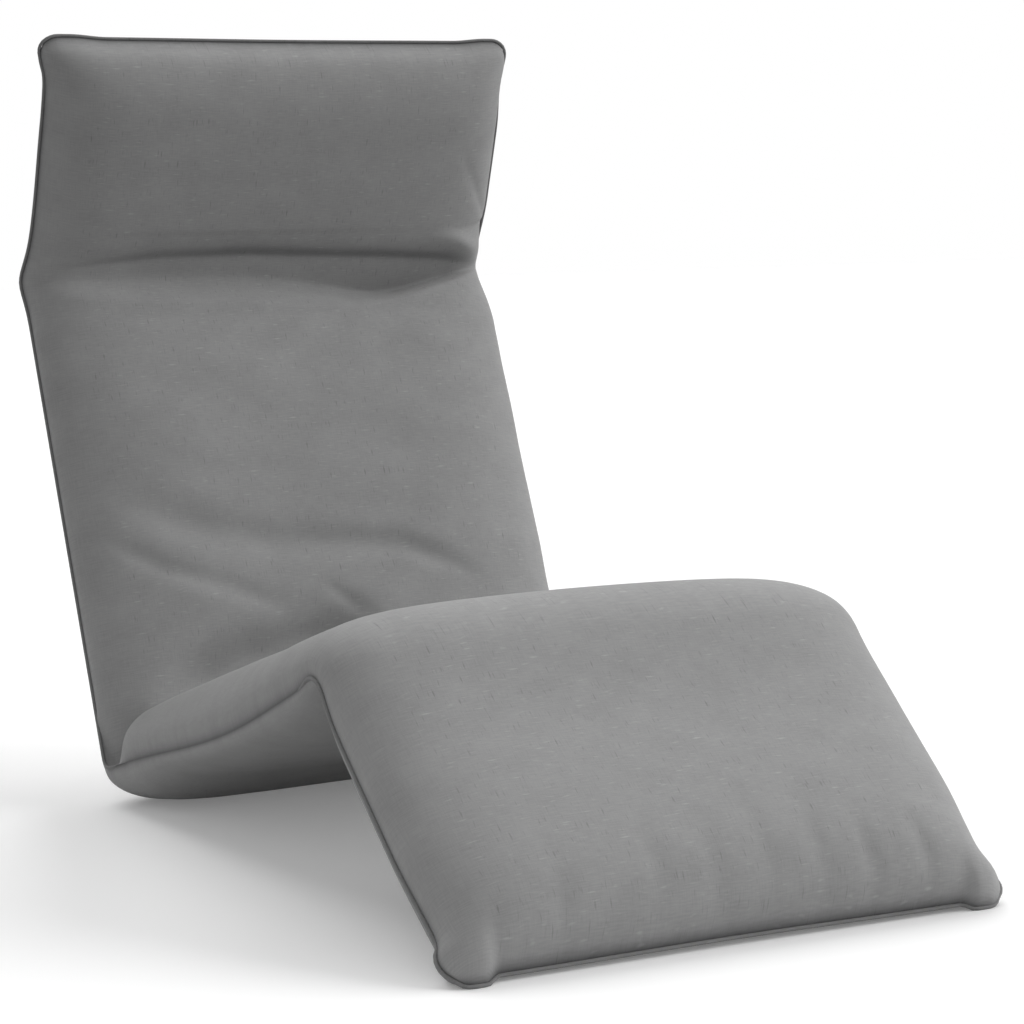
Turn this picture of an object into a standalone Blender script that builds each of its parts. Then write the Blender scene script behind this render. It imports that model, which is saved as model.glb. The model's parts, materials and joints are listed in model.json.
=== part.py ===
"""Folding sun lounger: four padded sections in one cover, on a tube frame with ratchet hinges.

Every section is modelled lying flat along Y, foot at -Y and head at +Y, with the piped seam and
the hinge axes in the plane z = 0. Empties on the hinge axes then fold the sections into the
pictured pose. Metres and degrees, +Z up, and the floor under the hip axis is the origin.
"""
import math

import bmesh
import bpy
from mathutils import Matrix, Vector

# Overall sizes, read from the photograph
WIDTH = 0.600
HEAD = 0.293
BACK = 0.583
SEAT = 0.600
LEG = 0.358
HIP_HEIGHT = 0.040
SEAT_TILT = 17.87

# Fold of each hinge in the picture, and ratchet clicks to flat and to fully folded
HIP_FOLD = 84.0
HIP_TO_FLAT = 12
HIP_TO_FOLDED = 5
NECK_FOLD = 42.0
NECK_TO_FLAT = 6
NECK_TO_FOLDED = 7
KNEE_FOLD = 56.0
KNEE_TO_FLAT = 8
KNEE_TO_FOLDED = 7
HIP_MAX = HIP_FOLD * (1 + HIP_TO_FOLDED / HIP_TO_FLAT)
NECK_MAX = NECK_FOLD * (1 + NECK_TO_FOLDED / NECK_TO_FLAT)
KNEE_MAX = KNEE_FOLD * (1 + KNEE_TO_FOLDED / KNEE_TO_FLAT)

# Pads and cover
SEAT_TOP = 0.060
SEAT_UNDER = 0.045
BACK_TOP = 0.057
BACK_UNDER = 0.045
HEAD_TOP = 0.055
HEAD_UNDER = 0.042
LEG_TOP = 0.060
LEG_UNDER = 0.050
CROWN_POWER = 7.0
END_ROUND = 0.090
CORNER_ROUND = 0.034
SIDE_PULL = 0.006
END_PULL = 0.007
HIP_WRAP = 140.0
FOLD_GAP = 0.003
FOLD_DIP = 0.30
COVER_WALL = 0.0015
PAD_CLEARANCE = 0.0016
PIPING_RADIUS = 0.0034
GAP = 0.0003
PIPE_SPACE = PIPING_RADIUS + GAP
SEAM_HALF = WIDTH / 2 - 2 * PIPING_RADIUS - GAP
PIPING_END = 0.0075

# Frame tubes
TUBE_RADIUS = 0.008
TUBE_WALL = 0.0012
TUBE_FROM_EDGE = 0.065
TUBE_X = WIDTH / 2 - TUBE_FROM_EDGE
LOOP_BEND = 0.055
LOOP_MARGIN = 0.060
BAR_RADIUS = 0.006
BAR_WALL = 0.001
BAR_FROM_HINGE = 0.095
STRAP_WIDTH = 0.034
STRAP_THICK = 0.0012
STRAP_SHARE = 0.36
STRAP_X = TUBE_X * STRAP_SHARE
HEAD_ROWS = (0.30, 0.51)
BACK_ROWS = (0.25, 0.42, 0.58, 0.75)
SEAT_ROWS = (0.26, 0.42, 0.58, 0.74)
LEG_ROWS = (0.235, 0.415, 0.60)
SLEEVE_RADIUS = TUBE_RADIUS + GAP
FOAM_INNER = SLEEVE_RADIUS + STRAP_THICK + GAP
FOAM_SETBACK = 0.022
FOAM_OPEN_SETBACK = 0.042

# Ratchet hinge
PLATE = 0.004
CHEEK = 0.0025
SIDE_PLAY = 0.0004
TOOTH_TIP = 0.0180
TOOTH_ROOT = 0.0155
TIP_LAND = 0.0005
ROOT_LAND = 0.0007
PIN_RADIUS = 0.0040
BORE_RADIUS = PIN_RADIUS + GAP
LOBE_RADIUS = 0.0205
COLLAR_Y = 0.038
COLLAR_HALF = 0.0075
SPACER_FRONT = 0.0275
ARM_BLOCK = 0.0240
ARM_COLLAR = 0.0290
SPIGOT_RADIUS = TUBE_RADIUS - TUBE_WALL - GAP
SPIGOT_LENGTH = 0.028
PAWL_ANGLE = 200.0
PAWL_REACH = 0.016
PAWL_SWING = 8.5
PAWL_TIP = TOOTH_ROOT + 0.0006
PAWL_BOSS = 0.0040
PAWL_PIN = 0.0020
SPRING_THICK = 0.0005

# Points across a pad from edge to edge, and steps in from a closed end
ACROSS = (1.0, 0.965, 0.9, 0.78, 0.56, 0.28, 0.0, -0.28, -0.56, -0.78, -0.9, -0.965, -1.0)
END_SHARES = (1.0, 0.5, 0.22, 0.09, 0.0)
END_STEPS = [END_ROUND * share for share in END_SHARES]
ALONG = (0.0, 0.15, 0.38, 0.62, 0.85, 1.0)
ALONG_TO_CLOSED = (0.0, 0.2, 0.6)


def clear_scene():
    for item in list(bpy.data.objects):
        bpy.data.objects.remove(item, do_unlink=True)


def turn(degrees):
    return Matrix.Rotation(math.radians(degrees), 4, "X")


def cot(degrees):
    return 0.0 if degrees >= 90 else 1 / math.tan(math.radians(degrees))


def polar(radius, degrees):
    """A point of the hinge plane, as (y, z)."""
    angle = math.radians(degrees)
    return radius * math.cos(angle), radius * math.sin(angle)


def material(name, colour, metallic, roughness):
    made = bpy.data.materials.new(name)
    made.use_nodes = True
    shader = made.node_tree.nodes["Principled BSDF"]
    shader.inputs["Base Color"].default_value = (*colour, 1.0)
    shader.inputs["Metallic"].default_value = metallic
    shader.inputs["Roughness"].default_value = roughness
    return made


def empty(name, parent, location, degrees):
    made = bpy.data.objects.new(name, None)
    bpy.context.scene.collection.objects.link(made)
    made.parent = parent
    made.location = location
    made.rotation_euler = (math.radians(degrees), 0, 0)
    made.hide_render = True
    return made


def node(name, mesh, parent, skin_material, location=(0, 0, 0), degrees=0.0):
    made = bpy.data.objects.new(name, mesh)
    bpy.context.scene.collection.objects.link(made)
    made.parent = parent
    made.location = location
    made.rotation_euler = (math.radians(degrees), 0, 0)
    if not mesh.materials:
        mesh.materials.append(skin_material)
    return made


def finish(shape, name):
    """Close a mesh up: merge doubled points, drop empty faces and turn every face outwards."""
    bmesh.ops.remove_doubles(shape, verts=shape.verts, dist=0.000001)
    bmesh.ops.dissolve_degenerate(shape, edges=shape.edges, dist=0.0000005)
    bmesh.ops.recalc_face_normals(shape, faces=shape.faces)
    if shape.calc_volume(signed=True) < 0:
        bmesh.ops.reverse_faces(shape, faces=shape.faces)
    mesh = bpy.data.meshes.new(name)
    shape.to_mesh(mesh)
    shape.free()
    return mesh


# Pads: one skin function serves the cover, its inner face and the foam inside it
def closing(most):
    """Angle of an end face on the side where the two pads meet at the fullest fold."""
    return (180 - most) / 2


HIP_ABOVE = closing(HIP_MAX)
NECK_ABOVE = closing(NECK_MAX)
KNEE_BELOW = closing(KNEE_MAX)
SEAT_WORLD = Matrix.Translation((0, 0, HIP_HEIGHT)) @ turn(-SEAT_TILT)
LEG_WORLD = SEAT_WORLD @ Matrix.Translation((0, -SEAT, 0)) @ turn(KNEE_FOLD)
BACK_WORLD = SEAT_WORLD @ turn(HIP_FOLD)
HEAD_WORLD = BACK_WORLD @ Matrix.Translation((0, BACK, 0)) @ turn(NECK_FOLD)

# Each end is (angle above the seam, angle below it), or None where the pad is closed
SECTIONS = {
    "head": {"span": (0, HEAD), "low": (NECK_ABOVE, 90), "high": None,
             "top": HEAD_TOP, "under": HEAD_UNDER, "world": HEAD_WORLD},
    "back": {"span": (0, BACK), "low": (HIP_ABOVE, 180 - HIP_WRAP), "high": (NECK_ABOVE, 90),
             "top": BACK_TOP, "under": BACK_UNDER, "world": BACK_WORLD},
    "seat": {"span": (-SEAT, 0), "low": (90, KNEE_BELOW), "high": (HIP_ABOVE, 90),
             "top": SEAT_TOP, "under": SEAT_UNDER, "world": SEAT_WORLD},
    "leg": {"span": (-LEG, 0), "low": None, "high": (90, KNEE_BELOW),
            "top": LEG_TOP, "under": LEG_UNDER, "world": LEG_WORLD},
}


def bulge(fraction):
    return 1 - abs(2 * fraction - 1) ** 6


def hinge_end(angles, z, setback):
    """How far an end face stands back from its hinge axis at height z."""
    angle = angles[0] if z >= 0 else angles[1]
    if setback is None:
        return FOLD_GAP + abs(z) * cot(angle)
    return setback[0 if angle < 89 else 1] + abs(z) * cot(angle)


def skin(section, across, station, top, inset, wrap=0.0, setback=None):
    """A point of a pad's skin, as a vector in the section's flat frame."""
    low, high = section["span"]
    kind, value = station
    closed = section["low"] is None or section["high"] is None
    rise = (section["top"] if top else section["under"]) - inset
    rise *= (1 - abs(across) ** CROWN_POWER) ** 0.5
    if kind == "end":
        rise *= (1 - max(0, 1 - value / END_ROUND) ** 2.2) ** 0.5
    z = rise if top else -rise
    pull_in = PIPE_SPACE + END_PULL * bulge((across + 1) / 2)
    if closed:
        away = 1 if section["high"] is None else -1
        edge = (high if away > 0 else low) - away * pull_in
        hinge = (low if away > 0 else high)
        angles = section["low"] if away > 0 else section["high"]
        near = hinge + away * hinge_end(angles, z, setback)
        if kind == "end":
            y = edge - away * (value + 1.5 * inset * (1 - value / END_ROUND))
        else:
            y = near + (edge - away * END_ROUND - near) * value
    else:
        first = low + hinge_end(section["low"], z, setback)
        last = high - hinge_end(section["high"], z, setback)
        y = first + (last - first) * value
    half = SEAM_HALF - 1.5 * inset - SIDE_PULL * bulge((y - low) / (high - low))
    x = half * across
    if closed:
        from_end = away * (edge - y)
        from_side = half - abs(x)
        if from_end < CORNER_ROUND and from_side < CORNER_ROUND:
            u = 1 - from_side / CORNER_ROUND
            v = 1 - from_end / CORNER_ROUND
            round_u = u * (1 - v * v / 2) ** 0.5
            round_v = v * (1 - u * u / 2) ** 0.5
            x = math.copysign(half - CORNER_ROUND * (1 - round_u), x)
            y = edge - away * CORNER_ROUND * (1 - round_v)
    if wrap and not top:
        y = high - FOLD_GAP + rise * math.sin(math.radians(wrap))
        z = -rise * math.cos(math.radians(wrap))
    point = Vector((x, y, z))
    below = inset - (section["world"] @ point).z
    if below > 0 and abs(across) < 1:
        point += section["world"].inverted().to_3x3() @ Vector((0, 0, below))
    return point


def stations(section):
    """Stations from the hinge end, or from the low end where both ends are hinges."""
    if section["low"] is None or section["high"] is None:
        return [("along", f) for f in ALONG_TO_CLOSED] + [("end", d) for d in END_STEPS]
    return [("along", f) for f in ALONG]


def ring(section, station, inset, wrap=0.0):
    points = [skin(section, a, station, True, inset) for a in ACROSS]
    points += [skin(section, a, station, False, inset, wrap) for a in reversed(ACROSS[1:-1])]
    return points


def add_rings(shape, rings):
    return [[shape.verts.new(p) for p in points] for points in rings]


def bridge(shape, one, two):
    count = len(one)
    for i in range(count):
        j = (i + 1) % count
        shape.faces.new((one[i], one[j], two[j], two[i]))


def cover(name):
    """A sewn sleeve: outer and inner skin, open at its hinge ends."""
    section = SECTIONS[name]
    layers = []
    shape = bmesh.new()
    for inset in (0.0, COVER_WALL):
        rings = [ring(section, s, inset) for s in stations(section)]
        if name == "seat":
            steps = 4
            for k in range(1, steps + 1):
                rings.append(ring(section, ("along", 1.0), inset, (HIP_WRAP - 90) * k / steps))
        layers.append(add_rings(shape, rings))
    for rings in layers:
        for one, two in zip(rings, rings[1:]):
            bridge(shape, one, two)
    bridge(shape, layers[0][0], layers[1][0])
    if section["low"] is not None and section["high"] is not None:
        bridge(shape, layers[0][-1], layers[1][-1])
    return finish(shape, name + "_cover")


def fold_panel(name, parent, child, axis, fold, wrap, opens_below):
    """The cloth across a hinge, fanned round the axis from one cover's end to the other's."""
    out = 0 if opens_below else 180
    shape = bmesh.new()
    layers = []
    count = len(ACROSS)
    for inset in (0.0, COVER_WALL):
        ends = []
        for which, section in enumerate((SECTIONS[parent], SECTIONS[child])):
            at_axis = axis[which]
            if section["low"] is None or section["high"] is None:
                station = ("along", 0.0)
            else:
                station = ("along", 0.0 if at_axis == section["span"][0] else 1.0)
            points = ring(section, station, inset, wrap if which == 0 else 0.0)
            pose = turn(fold if which else 0) @ Matrix.Translation((0, -at_axis, 0))
            ends.append([pose @ p for p in points])
        rings = []
        for step in (0.02, 0.25, 0.5, 0.75, 0.98):
            points = []
            for i, (p, c) in enumerate(zip(*ends)):
                x = p.x + (c.x - p.x) * step
                if i in (0, count - 1):
                    keep = p if step < 0.1 else c
                    scale = 0.85 if step in (0.02, 0.98) else 0.0
                    points.append(Vector((x, keep.y * scale, keep.z * scale)))
                    continue
                start = math.atan2(p.z, p.y)
                sweep = (math.atan2(c.z, c.y) - start + math.pi) % (2 * math.pi) - math.pi
                radius = math.hypot(p.y, p.z) * (1 - step) + math.hypot(c.y, c.z) * step
                angle = start + sweep * step
                if (i < count) == opens_below:
                    radius *= 1 - FOLD_DIP * math.sin(math.pi * step)
                else:
                    lean = abs(math.atan2(c.z, c.y) - math.radians(fold + out)) % (2 * math.pi)
                    lean = min(lean, 2 * math.pi - lean) + abs(sweep) * (1 - step)
                    flat = math.hypot(c.y, c.z) * math.sin(lean - abs(sweep) * (1 - step))
                    level = math.hypot(p.y, p.z) * (1 - step) + flat * step
                    radius = level / math.sin(min(lean, math.pi / 2))
                points.append(Vector((x, radius * math.cos(angle), radius * math.sin(angle))))
            rings.append(points)
        layers.append(add_rings(shape, rings))
    for rings in layers:
        for one, two in zip(rings, rings[1:]):
            bridge(shape, one, two)
    bridge(shape, layers[0][0], layers[1][0])
    bridge(shape, layers[0][-1], layers[1][-1])
    return finish(shape, name)


def foam(name, top):
    """Half a pad: crowned against the cover, flat against the frame."""
    section = SECTIONS[name]
    inset = COVER_WALL + PAD_CLEARANCE
    columns = ACROSS[1:-1]
    rows = [s for s in stations(section) if s[0] == "along" or s[1] >= 0.02]
    setback = (FOAM_SETBACK, FOAM_OPEN_SETBACK)
    flat = FOAM_INNER if top else -FOAM_INNER
    shape = bmesh.new()
    outer = []
    inner = []
    for row in rows:
        crowned = [skin(section, a, row, top, inset, 0.0, setback) for a in columns]
        outer.append([shape.verts.new(p) for p in crowned])
        level = []
        for p in crowned:
            y = p.y
            for angles, at, way in ((section["low"], section["span"][0], 1),
                                    (section["high"], section["span"][1], -1)):
                if angles is None or row not in (rows[0], rows[-1]):
                    continue
                if abs(p.y - at) < 0.2:
                    y = at + way * hinge_end(angles, flat, setback)
            level.append(shape.verts.new((p.x, y, flat)))
        inner.append(level)
    for grid in (outer, inner):
        for one, two in zip(grid, grid[1:]):
            for i in range(len(columns) - 1):
                shape.faces.new((one[i], one[i + 1], two[i + 1], two[i]))
    around_outer = outer[0] + [r[-1] for r in outer[1:]] + outer[-1][-2::-1]
    around_outer += [r[0] for r in outer[-2:0:-1]]
    around_inner = inner[0] + [r[-1] for r in inner[1:]] + inner[-1][-2::-1]
    around_inner += [r[0] for r in inner[-2:0:-1]]
    bridge(shape, around_outer, around_inner)
    return finish(shape, name + ("_foam_upper" if top else "_foam_lower"))


# Swept pieces: piping cords and tubes
def sweep(path, radii, sides, name):
    """A round cord (one radius) or a tube (two radii) along a flat path of (x, y) points."""
    shape = bmesh.new()
    layers = []
    for radius in radii:
        rings = []
        for i, here in enumerate(path):
            before = Vector(path[max(i - 1, 0)])
            after = Vector(path[min(i + 1, len(path) - 1)])
            here = Vector(here)
            one = (here - before).normalized() if i else (after - here).normalized()
            two = (after - here).normalized() if i < len(path) - 1 else one
            middle = (one + two).normalized()
            across = Vector((-middle.y, middle.x)) / max(middle.dot(one), 0.3)
            points = []
            for k in range(sides):
                angle = 2 * math.pi * (k + 0.5) / sides
                flat = here + across * (radius * math.cos(angle))
                points.append((flat.x, flat.y, radius * math.sin(angle)))
            rings.append(points)
        layers.append(add_rings(shape, rings))
    for rings in layers:
        for one, two in zip(rings, rings[1:]):
            bridge(shape, one, two)
    if len(radii) == 2:
        bridge(shape, layers[0][0], layers[1][0])
        bridge(shape, layers[0][-1], layers[1][-1])
    else:
        shape.faces.new(layers[0][0])
        shape.faces.new(layers[0][-1])
    return finish(shape, name)


def seam_path(name, side):
    """The seam line of a section, moved outwards to the middle of its piping cord."""
    section = SECTIONS[name]
    rows = stations(section)
    edge = [skin(section, 1.0, s, True, 0.0) for s in rows]
    line = [Vector((p.x, p.y)) for p in edge]
    if section["low"] is None or section["high"] is None:
        line += [Vector((p.x, p.y)) for p in
                 (skin(section, a, rows[-1], True, 0.0) for a in ACROSS[1:-1])]
        line += [Vector((-p.x, p.y)) for p in reversed(edge)]
    moved = []
    for i, here in enumerate(line):
        one = (here - line[i - 1]).normalized() if i else (line[1] - here).normalized()
        two = (line[i + 1] - here).normalized() if i < len(line) - 1 else one
        middle = (one + two).normalized()
        out = Vector((middle.y, -middle.x))
        if out.x * here.x + out.y * (here.y - sum(section["span"]) / 2) < 0:
            out = -out
        moved.append(here + out * (PIPE_SPACE / max(middle.dot(one), 0.3)))
    for end in ((0, -1) if section["low"] and section["high"] else (0,)):
        axis = min(section["span"], key=lambda at: abs(at - moved[end].y))
        inward = 1 if axis == section["span"][0] else -1
        moved[end].y = axis + inward * PIPING_END
        if len(moved) > 12:
            moved[-1].y = moved[0].y
    return [(p.x * side, p.y) for p in moved]


def loop_path(length, way):
    """The U of the head or leg loop: way is +1 towards the head and -1 towards the foot."""
    start = ARM_COLLAR + GAP
    far = length - LOOP_MARGIN
    points = [(TUBE_X, start)]
    for k in range(6):
        angle = math.radians(90 * k / 5)
        points.append((TUBE_X - LOOP_BEND * (1 - math.cos(angle)),
                       far - LOOP_BEND * (1 - math.sin(angle))))
    points += [(-x, y) for x, y in reversed(points)]
    return [(x, way * y) for x, y in points]


def cross_bar(name):
    """A bar between the side tubes, its ends cut to saddle them."""
    shape = bmesh.new()
    sides = 12
    saddle = TUBE_RADIUS + GAP
    layers = []
    for radius in (BAR_RADIUS, BAR_RADIUS - BAR_WALL):
        rings = []
        for side in (-1, 1):
            points = []
            for k in range(sides):
                y, z = polar(radius, 360 * k / sides)
                points.append((side * (TUBE_X - (saddle ** 2 - z ** 2) ** 0.5), y, z))
            rings.append(points)
        layers.append(add_rings(shape, rings))
    for rings in layers:
        bridge(shape, rings[0], rings[1])
    bridge(shape, layers[0][0], layers[1][0])
    bridge(shape, layers[0][1], layers[1][1])
    return finish(shape, name)


# Solids joined from simple ones
def prism(outline, x_from, x_to, hole=None):
    """A plate across X with an outline of (y, z) points and perhaps one round hole."""
    shape = bmesh.new()
    loops = [outline] + ([hole] if hole else [])
    sides = []
    for x in (x_from, x_to):
        edges = []
        rings = []
        for loop in loops:
            points = [shape.verts.new((x, y, z)) for y, z in loop]
            rings.append(points)
            for i, one in enumerate(points):
                edges.append(shape.edges.new((one, points[(i + 1) % len(points)])))
        bmesh.ops.triangle_fill(shape, edges=edges, use_beauty=True)
        sides.append(rings)
    for one, two in zip(*sides):
        bridge(shape, one, two)
    return finish(shape, "plate")


def rod(axis, radius, start, end, at=(0, 0), sides=16):
    """A round bar along X, centred at (y, z), or along Y, centred on the mid-plane."""
    shape = bmesh.new()
    rings = []
    for place in (start, end):
        points = []
        for k in range(sides):
            u, v = polar(radius, 360 * (k + 0.5) / sides)
            if axis == "X":
                points.append(shape.verts.new((place, at[0] + u, at[1] + v)))
            else:
                points.append(shape.verts.new((u, place, v)))
        rings.append(points)
    bridge(shape, *rings)
    shape.faces.new(rings[0])
    shape.faces.new(rings[1])
    return finish(shape, "rod")


def block(x, y, z):
    return prism([(y[0], z[0]), (y[1], z[0]), (y[1], z[1]), (y[0], z[1])], x[0], x[1])


def fuse(name, meshes):
    """One closed solid from overlapping ones."""
    made = []
    for mesh in meshes:
        item = bpy.data.objects.new(name, mesh)
        bpy.context.scene.collection.objects.link(item)
        made.append(item)
    for other in made[1:]:
        joined = made[0].modifiers.new("join", "BOOLEAN")
        joined.operation = "UNION"
        joined.solver = "EXACT"
        joined.object = other
    graph = bpy.context.evaluated_depsgraph_get()
    mesh = bpy.data.meshes.new_from_object(made[0].evaluated_get(graph))
    for item in made:
        bpy.data.objects.remove(item, do_unlink=True)
    mesh.name = name
    mesh.materials.clear()
    return mesh


def hull(points):
    """Outline round a set of (y, z) points."""
    points = sorted(set(points))
    sides = []
    for order in (points, points[::-1]):
        line = []
        for p in order:
            while len(line) > 1:
                (ay, az), (by, bz) = line[-2], line[-1]
                if (by - ay) * (p[1] - az) - (bz - az) * (p[0] - ay) > 1e-12:
                    break
                line.pop()
            line.append(p)
        sides += line[:-1]
    return sides


def circle(radius, sides, at=(0, 0)):
    ring_points = []
    for k in range(sides):
        y, z = polar(radius, 360 * k / sides)
        ring_points.append((at[0] + y, at[1] + z))
    return ring_points


# The pawl turns about a point on the tangent at its nose, so it drops straight into a tooth space
RADIAL = Vector(polar(1, PAWL_ANGLE))
TANGENT = Vector(polar(1, PAWL_ANGLE + 90))
PAWL_PIVOT = RADIAL * (PAWL_TIP + 0.0003) + TANGENT * PAWL_REACH


def hinge_housing():
    """Two cheek plates, pivot pin, pawl pin and a spigot for the parent's tube."""
    pivot = tuple(PAWL_PIVOT)
    outline = hull(circle(LOBE_RADIUS, 24) + circle(PAWL_BOSS + 0.0012, 12, pivot)
                   + [(-COLLAR_Y, COLLAR_HALF), (-COLLAR_Y, -COLLAR_HALF)])
    inner = PLATE / 2 + SIDE_PLAY
    outer = inner + CHEEK
    middle = inner + CHEEK / 2
    solids = [
        prism(outline, inner, outer),
        prism(outline, -outer, -inner),
        rod("X", PIN_RADIUS, -middle, middle),
        rod("X", PAWL_PIN, -middle, middle, pivot, 10),
        block((-middle, middle), (-COLLAR_Y + 0.001, -SPACER_FRONT), (-0.0065, 0.0065)),
        rod("Y", SPIGOT_RADIUS, -COLLAR_Y - SPIGOT_LENGTH, -COLLAR_Y + 0.004),
    ]
    return fuse("hinge_housing", solids)


def ratchet_arm(name, fold, to_flat, to_folded):
    """Toothed hub with a spigot for the child's tube. A tooth space meets the pawl at each click."""
    pitch = fold / to_flat
    tip = pitch / 2 - math.degrees(TIP_LAND / 2 / TOOTH_TIP)
    root = math.degrees(ROOT_LAND / 2 / TOOTH_ROOT)
    outline = [(ARM_BLOCK + 0.002, -0.007), (ARM_BLOCK + 0.002, 0.007)]
    first = PAWL_ANGLE - fold - to_folded * pitch
    last = PAWL_ANGLE - fold + to_flat * pitch
    edge = math.degrees(math.asin(0.007 / TOOTH_ROOT))
    outline.append(polar(TOOTH_ROOT, edge))
    outline.append(polar(TOOTH_ROOT, (edge + first - pitch) / 2))
    outline.append(polar(TOOTH_ROOT, first - pitch))
    for k in range(to_folded + to_flat + 1):
        space = first + k * pitch
        outline.append(polar(TOOTH_TIP, space - tip))
        outline.append(polar(TOOTH_ROOT, space - root))
        outline.append(polar(TOOTH_ROOT, space + root))
        outline.append(polar(TOOTH_TIP, space + tip))
    for k in range(5):
        angle = last + pitch + (360 - edge - last - pitch) * k / 4
        outline.append(polar(TOOTH_ROOT, angle))
    half = PLATE / 2
    cheek = half + SIDE_PLAY + CHEEK
    solids = [
        prism(outline, -half, half, circle(BORE_RADIUS, 16)),
        block((-cheek, cheek), (ARM_BLOCK, ARM_COLLAR), (-0.0072, 0.0072)),
        rod("Y", SPIGOT_RADIUS, ARM_BLOCK + 0.001, ARM_COLLAR + SPIGOT_LENGTH),
    ]
    return fuse(name, solids)


def pawl():
    """The locking pawl, drawn dropped into a tooth space, then lifted clear of the tooth tips."""
    clear = TOOTH_TIP + 0.0006
    boss = PAWL_PIVOT.length
    corners = [(PAWL_TIP, 0.0003), (clear, 0.0007), (clear + 0.0002, 0.004)]
    for k in range(9):
        u, v = polar(PAWL_BOSS, 215 - 250 * k / 8)
        corners.append((PAWL_TIP + 0.0003 + v * -1, PAWL_REACH + u))
    corners += [(clear + 0.004, 0.002), (clear + 0.004, -0.0025),
                (clear + 0.001, -0.0025), (clear, -0.0007), (PAWL_TIP, -0.0003)]
    lift = Matrix.Rotation(math.radians(PAWL_SWING), 2)
    outline = []
    for along, around in corners:
        point = lift @ (RADIAL * along + TANGENT * around - PAWL_PIVOT)
        outline.append(tuple(point))
    half = PLATE / 2
    return prism(outline, -half, half, circle(PAWL_PIN + GAP, 10))


def pawl_spring():
    """A leaf that lies under the spacer and bears on the pawl's back."""
    lie = -0.0065 - GAP - SPRING_THICK / 2
    path = [(-0.0365, lie), (-0.0300, lie), (-0.0276, lie - 0.0007), (-0.0258, lie - 0.0022),
            (-0.0249, lie - 0.0040)]
    upper = []
    lower = []
    for i, here in enumerate(path):
        before = Vector(path[max(i - 1, 0)])
        after = Vector(path[min(i + 1, len(path) - 1)])
        way = (after - before).normalized()
        off = Vector((-way.y, way.x)) * (SPRING_THICK / 2)
        upper.append(tuple(Vector(here) + off))
        lower.append(tuple(Vector(here) - off))
    return prism(upper + lower[::-1], -0.0017, 0.0017)


def webbing(name, rows, ways):
    """Cross straps looped round the side tubes, held apart by two straps along the section."""
    half = STRAP_THICK / 2
    outer = SLEEVE_RADIUS + STRAP_THICK
    solids = []
    join = math.degrees(math.asin(half / outer))
    for y in rows:
        sleeve = []
        for k in range(9):
            angle = 180 + join + (360 - 2 * join) * k / 8
            u, v = polar(outer, angle)
            sleeve.append((TUBE_X + u, v))
        outline = sleeve + [(-x, z) for x, z in reversed(sleeve)]
        shape = bmesh.new()
        holes = [[(side * TUBE_X + u, v) for u, v in circle(SLEEVE_RADIUS / math.cos(math.pi / 12), 12)]
                 for side in (1, -1)]
        sides = []
        for at in (y - STRAP_WIDTH / 2, y + STRAP_WIDTH / 2):
            edges = []
            rings = []
            for loop in [outline] + holes:
                points = [shape.verts.new((x, at, z)) for x, z in loop]
                rings.append(points)
                for i, one in enumerate(points):
                    edges.append(shape.edges.new((one, points[(i + 1) % len(points)])))
            bmesh.ops.triangle_fill(shape, edges=edges, use_beauty=True)
            sides.append(rings)
        for one, two in zip(*sides):
            bridge(shape, one, two)
        solids.append(finish(shape, "strap"))
    low = min(rows) - STRAP_WIDTH / 2 + 0.004
    high = max(rows) + STRAP_WIDTH / 2 - 0.004
    for x in ways:
        solids.append(block((x - STRAP_WIDTH / 2, x + STRAP_WIDTH / 2), (low, high),
                            (-half * 0.8, half * 0.8)))
    return fuse(name, solids)


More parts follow.
